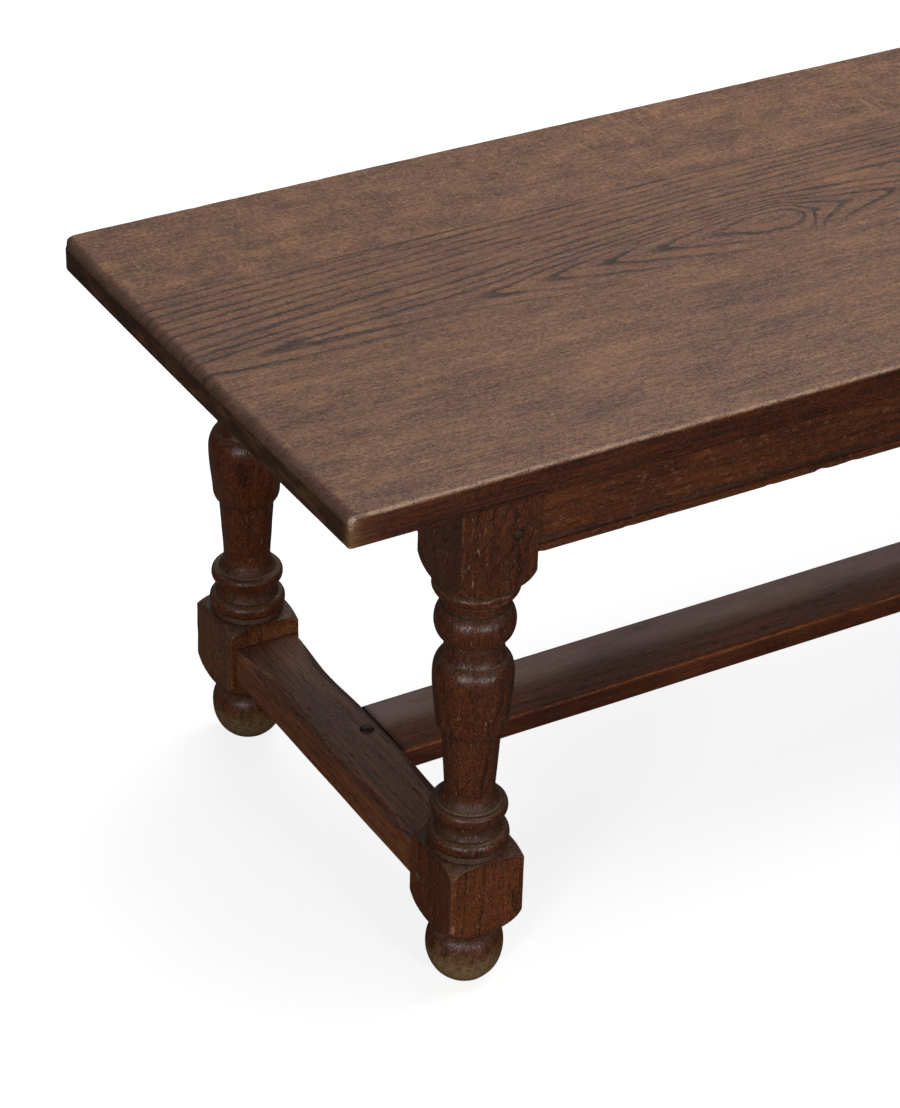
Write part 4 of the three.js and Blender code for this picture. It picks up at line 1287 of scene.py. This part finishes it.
def arched_figure(tree, warped):
    """Pointed loops one inside another."""
    x, y, _ = warped.split()
    along = x.share(*RUN_SPAN)
    rise = y - (x * AXIS_SLANT + AXIS_PLACE)
    run = tree.curve(along, RUN_SHARES)
    run += rise.step(*ABOVE_RISE) * (tree.curve(along, ABOVE_SHARES) - run)
    run += rise.step(*LEVEL_RISE, 0.0, 0.45) * (tree.curve(along, LEVEL_SHARES) - run)
    climb = tree.curve(rise.share(*RISE_SPAN), RISE_SHARES)
    strength = rise.step(*FAINT_RISE, 0.3, 1.0) * abs(rise - BOLD_RISE).step(*BOLD_SPAN, 1.4, 1.0)
    return run * RUN_RINGS + climb * RISE_RINGS, strength


def straight_field(pitch, slant=0.0):
    """Rings that run straight along a quarter-sawn board."""
    def field(tree, warped):
        x, y, z = warped.split()
        return (y + z * 0.3 + x * slant) / pitch, 1.0

    return field


# Marks on the top: x, y and radius

PITS = (
    (-551.9, -19.9, 1.5), (-365.8, -72.1, 1.7), (-398.0, -164.3, 1.3), (-122.5, -219.9, 1.4),
    (-549.7, -138.2, 1.2), (112.0, -96.0, 1.5),
)
WATER_RINGS = (
    (-295.3, -160.4, 9.0), (-292.5, -195.4, 5.0), (-274.7, -199.3, 4.0), (-110.3, -151.0, 5.0),
    (-523.0, 220.1, 6.0), (-61.9, 161.8, 5.0), (68.6, 220.1, 6.0),
)
CRACK_HEIGHT = TOP_UNDERSIDE + 3.5
CRACK_MIDDLE = -485.0
CRACK_REACH = (45.0, 58.5)
BARE_END = (TABLE_LOW[0] + 6, TABLE_LOW[0] + 34)  # the front's wood turns from bare to dark
TIP_PLACE = (TABLE_LOW[0] + 3, TABLE_LOW[1] + 2, TABLE_HIGH[2] - 2.5)
SIDE_TINT = (0.385, 0.178, 0.064)
FLAT = (1.0, 1.0, 0.0)


def marks(tree, scaled, place, colour):
    """Pits, and stains that wet feet of glasses left."""
    wobble = (tree.noise(place, (6, 6), shift=91.0, colour=True) - HALF) * (5.0, 5.0, 0.0)
    flat = scaled * FLAT + wobble
    pits, stains = 0.0, 0.0
    for x, y, radius in PITS:
        pits = (flat - (x, y, 0)).length().fall(radius * 0.7, radius * 1.5) + pits
    for x, y, radius in WATER_RINGS:
        stains = abs((flat - (x, y, 0)).length() - radius).fall(0.3, 1.8) + stains
    colour = tree.mix(stains * 0.22, colour, "#2b1c16")
    return tree.mix(pits * 0.75, colour, "#1c1310")


def patches(tree, place, colour, patch_size):
    """Pale scuffs, and the tan and purple-grey patches that the wax left."""
    scuff = tree.noise(place, (22, 2.6), 2.0, 0.6, 97.0).step(0.58, 0.72)
    scuffed = tree.noise(place, (90, 55), shift=101.0)
    colour = tree.mix(scuff * scuffed.step(0.4, 0.62) * 0.4, colour, "#9b7452")
    tan = tree.noise(place, patch_size, 5.0, 0.8, 107.0)
    colour = tree.mix(tan.step(0.5, 0.66) * 0.26, colour, "#9a6c46")
    cool = tree.noise(place, patch_size, 5.0, 0.78, 113.0)
    return tree.mix(cool.step(0.52, 0.68) * 0.22, colour, "#4f3a36"), scuffed


def rear_marks(tree, place, y, scuffed, colour):
    """Rays across the rear board, dark commas beside its seam, and dirt in the joint."""
    rays = tree.noise(place, (8, 42, 30), shift=131.0, distortion=1.6).step(0.6, 0.68)
    rayed = tree.noise(place, (80, 60), 1.0, shift=137.0).step(0.42, 0.6)
    rayed *= y.step(REAR_SEAM + 10, REAR_SEAM + 40)
    colour = tree.mix(rays * rayed * 0.36, colour, "#a47c55")
    commas = tree.noise(place, (7, 13, 9), 1.0, shift=139.0, distortion=0.8).step(0.62, 0.7)
    near_seam = y.step(REAR_SEAM + 2, REAR_SEAM + 7) * y.fall(REAR_SEAM + 20, REAR_SEAM + 34)
    colour = tree.mix(commas * near_seam * 0.5, colour, "#55301f")
    joint = abs(y - REAR_SEAM).fall(0.5, 1.7) * scuffed.step(0.3, 0.55, 0.3, 1.0)
    return tree.mix(joint * 0.55, colour, "#33231d")


def side_marks(tree, x, z, lines, colour):
    """Dark lines along the front and the rear, a bare stretch and one crack low on the front."""
    side = tree.attribute("side")
    colour = tree.tint(colour, SIDE_TINT, side)
    colour = tree.mix(side * lines.step(0.5, 0.62) * 0.5, colour, "#160b06")
    bare = side * x.fall(*BARE_END) * lines.step(0.36, 0.52, 0.35, 1.0)
    colour = tree.mix(bare * 0.36, colour, "#6f4a2b")
    crack = abs(z - CRACK_HEIGHT + (lines - 0.5) * 5.0).fall(0.2, 0.9)
    crack *= side * abs(x - CRACK_MIDDLE).fall(*CRACK_REACH)
    return tree.mix(crack * 0.8, colour, "#0d0805")


def top_look(tree, scaled, place, colour, patch_size=(100.0, 18.0)):
    """Marks of use on the face, red-brown sides, the dark cut ends with painted shade on their rounds,
    and front corners rubbed tan with a painted highlight at the tip.
    """
    x, y, z = scaled.split()
    colour = marks(tree, scaled, place, colour)
    colour, scuffed = patches(tree, place, colour, patch_size)
    colour = rear_marks(tree, place, y, scuffed, colour)
    lines = tree.noise(place, (120, 60, 2.4), 3.0, 0.6, 127.0)
    colour = side_marks(tree, x, z, lines, colour)

    blotches = tree.noise(place, (14, 26, 9), 4.0, 0.62, 29.0)
    # The end's round is painted darker and purple-grey: painted shade where it turns away from the light
    rolled = tree.ramp(blotches, ((0.3, "#3a2d2a"), (0.5, "#4a3834"), (0.72, "#5b453e")))
    colour = tree.mix(tree.attribute("rolled") * 0.6, colour, rolled)
    cut = tree.ramp(blotches, ((0.3, "#221108"), (0.5, "#3c210f"), (0.72, "#613e20")))
    colour = tree.mix(tree.attribute("cut") * 0.92, colour, cut)

    # The corner is rubbed down to tan wood, and its tip is painted pale: a knocked chip and a painted
    # highlight
    tip = scaled - TIP_PLACE
    arris = ((tip * FLAT).length() + (lines - 0.5) * 14.0).fall(2.0, 8.5, 0.55)
    colour = tree.mix(arris, colour, "#80593a")
    tip = (tip.length() + (blotches - 0.5) * 9.0).fall(2.6, 5.2, 0.8)
    return tree.mix(tip, colour, "#c9b7a4")


def rear_look(tree, scaled, place, colour):
    """The look of the rear board, whose patches are shorter and broader."""
    return top_look(tree, scaled, place, colour, (52.0, 30.0))


def top_oak(name, extra=top_look, **settings):
    """Oak for a board of the top."""
    return oak(
        name, "X", tones=TOP_TONES, roughness=0.42, worn_colour="#a5856f", worn_share=0.75,
        extra=extra, **settings,
    )


FOOT_BLEACH = "#8a7250"
DUST_AND_SHEEN = "#6b594a"
# Painted light: the rear legs are painted lighter where the table shades them, and each lower block is
# paler than the turning
BLOCK_PALE_AND_LIT = {-1: (1.48, 1.54, 1.46), 1: (1.5, 1.9, 1.95)}  # front legs and rear legs
LEG_PAINTED_LIGHT = {-1: (1.0, 1.0, 1.0), 1: (1.3, 1.24, 1.16)}
SLANT_PITCH = 17.0
CHIP_PLACE = (-30.5, -33.0, 76.0)  # from the foot of the front left leg's axis


def leg_look(corner):
    """Dark slanting streaks, turning lines, a grey of dust and painted sheen on what faces up, painted
    light on the rear legs, and a bleached foot.
    """
    block_pale_and_lit = BLOCK_PALE_AND_LIT[CORNERS[corner][1]]
    leg_painted_light = LEG_PAINTED_LIGHT[CORNERS[corner][1]]

    def look(tree, scaled, place, colour):
        x, y, z = scaled.split()

        # Streaks that cross the upper block on a slant
        sway = tree.noise(scaled, (30, 30), shift=19.0)
        slant = (z - (x - y) * 1.2 + sway * 26.0) / SLANT_PITCH
        broken = tree.noise(scaled, (26, 26), shift=21.0)
        streak = abs(tree.math("FRACT", slant) - 0.5).fall(0.0, 0.12) * broken.step(0.46, 0.58)
        streak *= z.step(TOP_UNDERSIDE - UPPER_BLOCK, TOP_UNDERSIDE - UPPER_BLOCK + 8)
        colour = tree.mix(streak * 0.66, colour, "#170d08")

        # Lines that the turning tool left, and on what faces up a grey that is dust and painted sheen
        turning = tree.noise(scaled, (60, 60, 0.9), 1.0, shift=25.0)
        turning = turning.step(0.56, 0.66) * tree.attribute("turned")
        colour = tree.mix(turning * 0.3, colour, "#1c110b")
        dust_and_sheen = tree.noise(scaled, (2.2, 2.2, 1.1), 2.0, 0.6, 27.0)
        dust_and_sheen = dust_and_sheen.step(0.36, 0.62, 0.08, 0.56) * tree.attribute("upward")
        colour = tree.mix(dust_and_sheen, colour, DUST_AND_SHEEN)

        # The lower block is paler than the turning, and on the rear legs it is painted lighter still, as
        # painted light where the table shades it
        block = z.step(ANKLE_TOP, ANKLE_TOP + 8) * z.fall(BLOCK_HEAD - 11, BLOCK_HEAD + 1)
        colour = tree.tint(colour, block_pale_and_lit, block)
        # The rear legs are painted lighter all over, as painted light where the table shades them
        colour = tree.tint(colour, leg_painted_light)
        if corner == "front_left":
            chip = ((scaled - CHIP_PLACE) * (1.0, 0.4, 0.45)).length()
            colour = tree.mix(chip.fall(1.2, 2.6, 0.75), colour, "#96684a")

        # The foot
        patched = tree.noise(place, (7, 5), 4.0, 0.68, 13.0)
        bleached = tree.attribute("foot") + (patched - 0.5) * 1.7
        colour = tree.mix(bleached.step(0.05, 1.05) * 0.7, colour, FOOT_BLEACH)
        scuffs = tree.noise(scaled, (5, 5, 1.8), 4.0, 0.72, 149.0)
        scuffs = scuffs.step(0.54, 0.64) * bleached.step(0.25, 0.8)
        return tree.mix(scuffs * 0.72, colour, "#2a1d12")

    return look


def leg_oak(corner):
    """Oak for one leg, with a grain of its own."""
    sx, sy = CORNERS[corner]
    return oak(
        "leg_oak_" + corner, "Z", (sx * LEG_X, sy * LEG_Y, 0), 2.0 + sx + 3 * sy, tones=LEG_TONES,
        field=ring_field((30.0, 58.0), 6.4), ring_depth=0.14, ring_width=0.17, ring_feather=0.2,
        fibre_depth=0.26, fibre_size=(24.0, 1.5), streak_depth=0.08, mottle_depth=0.14,
        grit_depth=0.44, pore_size=(6.0, 0.9), pore_depth=0.3, pore_bars=(0.61, 0.58), wax=0.62,
        wax_colour="#9c8a6c", roughness=0.3, bump=1.1, grime_colour="#2c241a", grime_share=0.3,
        extra=leg_look(corner),
    )


def cross_look(tree, scaled, place, colour):
    """A top painted lighter and greyer, as painted light and sheen where the table shades it, over
    redder sides.
    """
    x, _, z = scaled.split()
    beside = abs(x).step(CROSS_WIDTH / 2 - 2, CROSS_WIDTH / 2 - 0.8)
    painted_light_top = z.step(CROSS_THICKNESS - 2.2, CROSS_THICKNESS - 0.8)
    return tree.tint(tree.tint(colour, (1.16, 1.02, 0.75), beside), (1.45, 1.62, 1.72), painted_light_top)


LONG_WEAR_AND_SHEEN = (
    (0.0, "#c8a895"), (0.3, "#ceb09e"), (0.5, "#ddcdc2"), (0.62, "#f2e6dc"), (1.0, "#ffffff"),
)
LONG_DUST_AND_SHEEN = "#bea5a0"


def long_look(tree, scaled, place, colour):
    """A top painted lighter and greyer towards its rear as dust and painted sheen, and darker at its
    worn front, over a dark red front.
    """
    _, y, z = scaled.split()
    front = -LONG_WIDTH / 2
    across = y.share(front, -front)
    # Painted sheen: the ramp makes the top lighter and greyer towards the rear, and darker at the worn
    # front
    colour = tree.mix(1.0, colour, tree.ramp(across, LONG_WEAR_AND_SHEEN), "MULTIPLY")
    colour = tree.tint(colour, (2.43, 2.63, 2.67))
    # Pale patches towards the rear: dust and painted sheen
    rear_dust_and_sheen = tree.noise(place, (46, 14), 3.0, 0.6, 151.0).step(0.3, 0.6, 0.36, 0.52)
    rear_dust_and_sheen *= across.step(0.35, 0.7) * z.step(LONG_THICKNESS - 4, LONG_THICKNESS - 2)
    colour = tree.mix(rear_dust_and_sheen, colour, LONG_DUST_AND_SHEEN)
    side = y.fall(front + 0.6, front + 2.0) * z.fall(LONG_THICKNESS - 5.5, LONG_THICKNESS - 3.5)
    return tree.tint(colour, (0.56, 0.57, 0.6), side)


def steel():
    """Scratched and stained steel for the screws."""
    tree = Tree(bpy.data.materials.new("screw_steel"))
    place = tree.object_place()
    scratch = tree.noise(place, (0.4, 3.0), 3.0)
    stain = tree.noise(place, (3.0, 3.0))
    shades = ((0.3, "#4d4a45"), (0.5, "#8a8880"), (0.75, "#b5b3ac"))
    colour = tree.ramp(scratch * 0.6 + stain * 0.4, shades)
    surface = {"Base Color": colour, "Metallic": 1.0, "Roughness": stain * 0.25 + 0.3}
    return tree.principled(surface, scratch, 0.4, 0.0002)


# The table, put together

top_materials = {
    "board_rear": top_oak(
        "top_rear_oak", seed=3.0, field=straight_field(7.0), ring_depth=0.0, streak_depth=0.06,
        mottle_depth=0.34, mottle_size=(46.0, 26.0), fleck=0.2, pore_depth=0.12, extra=rear_look,
        pore_bars=(0.63, 0.62), fibre_depth=0.3, grit_depth=0.56,
    ),
    "board_middle": top_oak(
        "top_middle_oak", seed=0.0, field=arched_figure, wander=(7.0, 1.8), ring_depth=0.27,
        ring_width=0.5, ring_feather=0.42, streak_depth=0.1, mottle_depth=0.16, pore_depth=0.18,
        grit_depth=0.48,
    ),
    "board_front": top_oak(
        "top_front_oak", seed=5.0, field=straight_field(8.0, 0.02), ring_depth=0.0,
        streak_depth=0.12, mottle_depth=0.28, mottle_size=(80.0, 24.0), pore_depth=0.14,
        pore_bars=(0.63, 0.62), fibre_depth=0.34, grit_depth=0.56,
    ),
}
for name, low_y, high_y, shift, along_step in (
    ("board_rear", REAR_SEAM + SEAM_GAP, TABLE_HIGH[1], 1.0, BOARD_STEP),
    ("board_middle", FRONT_SEAM + SEAM_GAP, REAR_SEAM - SEAM_GAP, 2.0, BOARD_STEP),
    ("board_front", TABLE_LOW[1], FRONT_SEAM - SEAM_GAP, 3.0, FRONT_STEP),
):
    board(name, low_y, high_y, shift, top_materials[name], along_step)

peg_material = oak(
    "peg_oak", "Y", tones=PEG_TONES, field=ring_field((9.0, 6.0), 1.6), roughness=0.36,
    ring_depth=0.4,
)
pale_peg_material = oak(
    "pale_peg_oak", "Y", tones=PALE_PEG_TONES, field=ring_field((9.0, 6.0), 1.6), roughness=0.45,
    worn_share=0.8,
)


def plug(node, rings, outward, head, rim, material=peg_material):
    """A peg or a pin in place of its CAD node."""
    body = skin(turned_to(rings, outward, head))
    worn = with_ends(np.repeat(rim, rings.shape[1]))
    attributes = {"worn": worn, "hollow": 0 * worn, "dust": 0 * worn}
    make_piece("head_" + node, body, material, node, attributes)


def peg(node, outward, shift, material=peg_material):
    """A peg in place of its CAD node, and the hole that it needs."""
    low, high = cad_box(node)
    outward = np.array(outward, float)
    reach = np.abs((high - low) @ np.abs(outward)) / 2
    head = (low + high) / 2 + outward * (reach - PEG_PROUD)
    rings = peg_rings(PEG_RADIUS, 2 * reach - PEG_PROUD, PEG_PROUD, shift)
    count = len(rings)
    plug(node, rings, outward, head, 0.3 * smooth(np.arange(count), count - 4, count), material)
    return head, -outward, PEG_RADIUS + HOLE_GAP, HOLE_DEPTH


def pin(node):
    """A domed pin in place of its CAD node, and the hole that it needs."""
    low, high = cad_box(node)
    head = np.array([(low[0] + high[0]) / 2, (low[1] + high[1]) / 2, high[2] - PIN_DOME])
    rings = peg_rings(PIN_RADIUS, head[2] - low[2], PIN_DOME, 70.0)
    plug(node, rings, UP, head, np.zeros(len(rings)))
    return head, -UP, PIN_RADIUS + HOLE_GAP, HOLE_DEPTH


for number, (corner, (sx, sy)) in enumerate(CORNERS.items()):
    rings, attributes = leg_mesh(10.0 + 7 * number)
    attributes = {key: with_ends(values) for key, values in attributes.items()}
    body = skin(rings + np.array([sx * LEG_X, sy * LEG_Y, 0]))
    name = "turned_leg_" + corner
    leg = make_piece(name, body, leg_oak(corner), "leg_" + corner, attributes)
    holes = [
        peg("peg_long_apron_" + corner, (0, sy, 0), 40.0 + number),
        peg("peg_end_apron_" + corner, (sx, 0, 0), 50.0 + number),
        peg("peg_cross_stretcher_" + corner, (sx, 0, 0), 60.0 + number, pale_peg_material),
    ]
    cut_holes(leg, holes)

apron_face = APRON_SETBACK - BLOCK_HALF
long_shoulder = LEG_X - BLOCK_HALF - JOINT_GAP
end_shoulder = LEG_Y - BLOCK_HALF - JOINT_GAP
for number, (side, along, shoulder, degrees, place) in enumerate((
    ("front", "X", long_shoulder, 0, (0, -LEG_Y + apron_face, 0)),
    ("rear", "X", long_shoulder, 180, (0, LEG_Y - apron_face, 0)),
    ("left", "Y", end_shoulder, -90, (-LEG_X + apron_face, 0, 0)),
    ("right", "Y", end_shoulder, 90, (LEG_X - apron_face, 0, 0)),
)):
    material = oak(
        "apron_oak_" + side, along, (0, 0, TOP_UNDERSIDE), 4.0 + number, tones=APRON_TONES,
        field=ring_field((60.0, 30.0), 3.0), ring_depth=0.06, pore_depth=0.2, roughness=0.42,
        blotch=0.5, wax=0.4, specular=0.26,
    )
    apron(side, shoulder, degrees, place, material, 20.0 + 3 * number)

for number, (side, sx) in enumerate((("left", -1), ("right", 1))):
    material = oak(
        "cross_oak_" + side, "Y", (sx * LEG_X, 0, CROSS_HEIGHT), 9.0 + number, tones=CROSS_TONES,
        field=ring_field((40.0, -30.0), 3.4), ring_depth=0.1, pore_depth=0.24, wax=0.35,
        extra=cross_look,
    )
    stretcher = cross_stretcher(side, sx, material, 30.0 + number)
    cut_holes(stretcher, [pin("stretcher_pin_" + side)])

long_material = oak(
    "long_stretcher_oak", "X", (0, 0, LONG_HEIGHT), 12.0, tones=LONG_TONES,
    field=ring_field((10.0, -60.0), 3.2), ring_depth=0.08, pore_depth=0.2, roughness=0.44,
    worn_colour="#8f5c33", worn_share=0.75, extra=long_look,
)
long_stretcher(long_material, 33.0)

hidden_material = oak("hidden_oak", "X", tones=BARE_TONES, roughness=0.6)
screw_material = steel()

# Nodes that still show keep their CAD shape
for name, node in frame["nodes"].items():
    if node.hide_render:
        continue
    node.data.materials.clear()
    is_screw = name.startswith("button_screw")
    node.data.materials.append(screw_material if is_screw else hidden_material)


# Studio: sizes are metres

FLOOR_SIZE = 14.0
WORLD_GREY = (0.1, 0.1, 0.1, 1.0)
FAR_FLOOR = (0.855, 0.855, 0.855, 1.0)  # as the camera sees it
TABLE_MIDDLE = Vector((0.0, 0.0, 0.25))


def floor():
    """A floor that keeps the shadow and looks almost white to the camera."""
    tree = Tree(bpy.data.materials.new("floor"))
    camera_ray = tree.value("ShaderNodeLightPath", output="Is Camera Ray")
    shaded = tree.value("ShaderNodeBsdfDiffuse", {"Color": linear("#5c5a57")})
    lit = tree.value("ShaderNodeBsdfDiffuse", {"Color": linear("#b4b3b1")})
    white = tree.value("ShaderNodeEmission", {"Color": linear("#e8e8e8"), "Strength": 1.0})
    seen = tree.value("ShaderNodeAddShader", {0: lit, 1: white})
    tree.finish(tree.value("ShaderNodeMixShader", {0: camera_ray, 1: shaded, 2: seen}))
    half = FLOOR_SIZE / 2
    mesh = bpy.data.meshes.new("floor")
    corners = [(-half, -half, 0), (half, -half, 0), (half, half, 0), (-half, half, 0)]
    mesh.from_pydata(corners, [], [(0, 1, 2, 3)])
    mesh.materials.append(tree.owner)
    new_object("floor", mesh)


def softbox(name, azimuth, elevation, distance, width, height, power):
    """A lamp round the table. Azimuth 0 is in front of it and 90 to its right."""
    a, e = math.radians(azimuth), math.radians(elevation)
    out = Vector((math.sin(a) * math.cos(e), -math.cos(a) * math.cos(e), math.sin(e)))
    data = bpy.data.lights.new(name, "AREA")
    data.shape, data.size, data.size_y = "RECTANGLE", width, height
    data.energy = power
    lamp = new_object(name, data)
    lamp.location = TABLE_MIDDLE + out * distance
    lamp.rotation_mode = "QUATERNION"
    lamp.rotation_quaternion = out.to_track_quat("Z", "Y")
    lamp.visible_camera = False


def world():
    """A dim grey world that shows to the camera as the far floor does."""
    tree = Tree(bpy.data.worlds.new("studio"))
    camera_ray = tree.value("ShaderNodeLightPath", output="Is Camera Ray")
    level = tree.mix(camera_ray, WORLD_GREY, FAR_FLOOR)
    background = tree.value("ShaderNodeBackground", {"Color": level})
    bpy.context.scene.world = tree.finish(background, "ShaderNodeOutputWorld")


CAMERA_AZIMUTH = -30.82
floor()
world()

# Lamps: azimuth, elevation, distance, width, height and power in watts
softbox("overhead", 105, 79, 2.4, 2.2, 2.2, 57)
softbox("left_front", CAMERA_AZIMUTH - 25, 9, 2.8, 0.45, 0.6, 22)
softbox("right_front", CAMERA_AZIMUTH + 25, 9, 2.8, 0.45, 0.6, 25)
softbox("back_panel", CAMERA_AZIMUTH + 180, 34, 3.4, 3.4, 2.4, 11)


# Camera, as it was solved from the table's edges

CAMERA_PLACE = Vector((-1.546189, -1.969446, 1.717166))
CAMERA_LENS = 107.967
CAMERA_SENSOR = 36.0
CAMERA_PITCH = 32.3544
CAMERA_ROLL = -1.66266

camera_data = bpy.data.cameras.new("camera")
camera_data.sensor_width = CAMERA_SENSOR
camera_data.lens = CAMERA_LENS
camera_data.clip_start, camera_data.clip_end = 0.1, 100
camera = new_object("camera", camera_data)
yaw, pitch, roll = (math.radians(a) for a in (-CAMERA_AZIMUTH, CAMERA_PITCH, CAMERA_ROLL))
forward = Vector((math.sin(yaw) * math.cos(pitch), math.cos(yaw) * math.cos(pitch), -math.sin(pitch)))
right = Vector((math.cos(yaw), -math.sin(yaw), 0))
down = forward.cross(right)
rolled_right = right * math.cos(roll) + down * math.sin(roll)
rolled_down = down * math.cos(roll) - right * math.sin(roll)
turn = Matrix((rolled_right, -rolled_down, -forward)).transposed()
camera.matrix_world = Matrix.Translation(CAMERA_PLACE) @ turn.to_4x4()
bpy.context.scene.camera = camera
bpy.context.scene.view_settings.view_transform = "Standard"
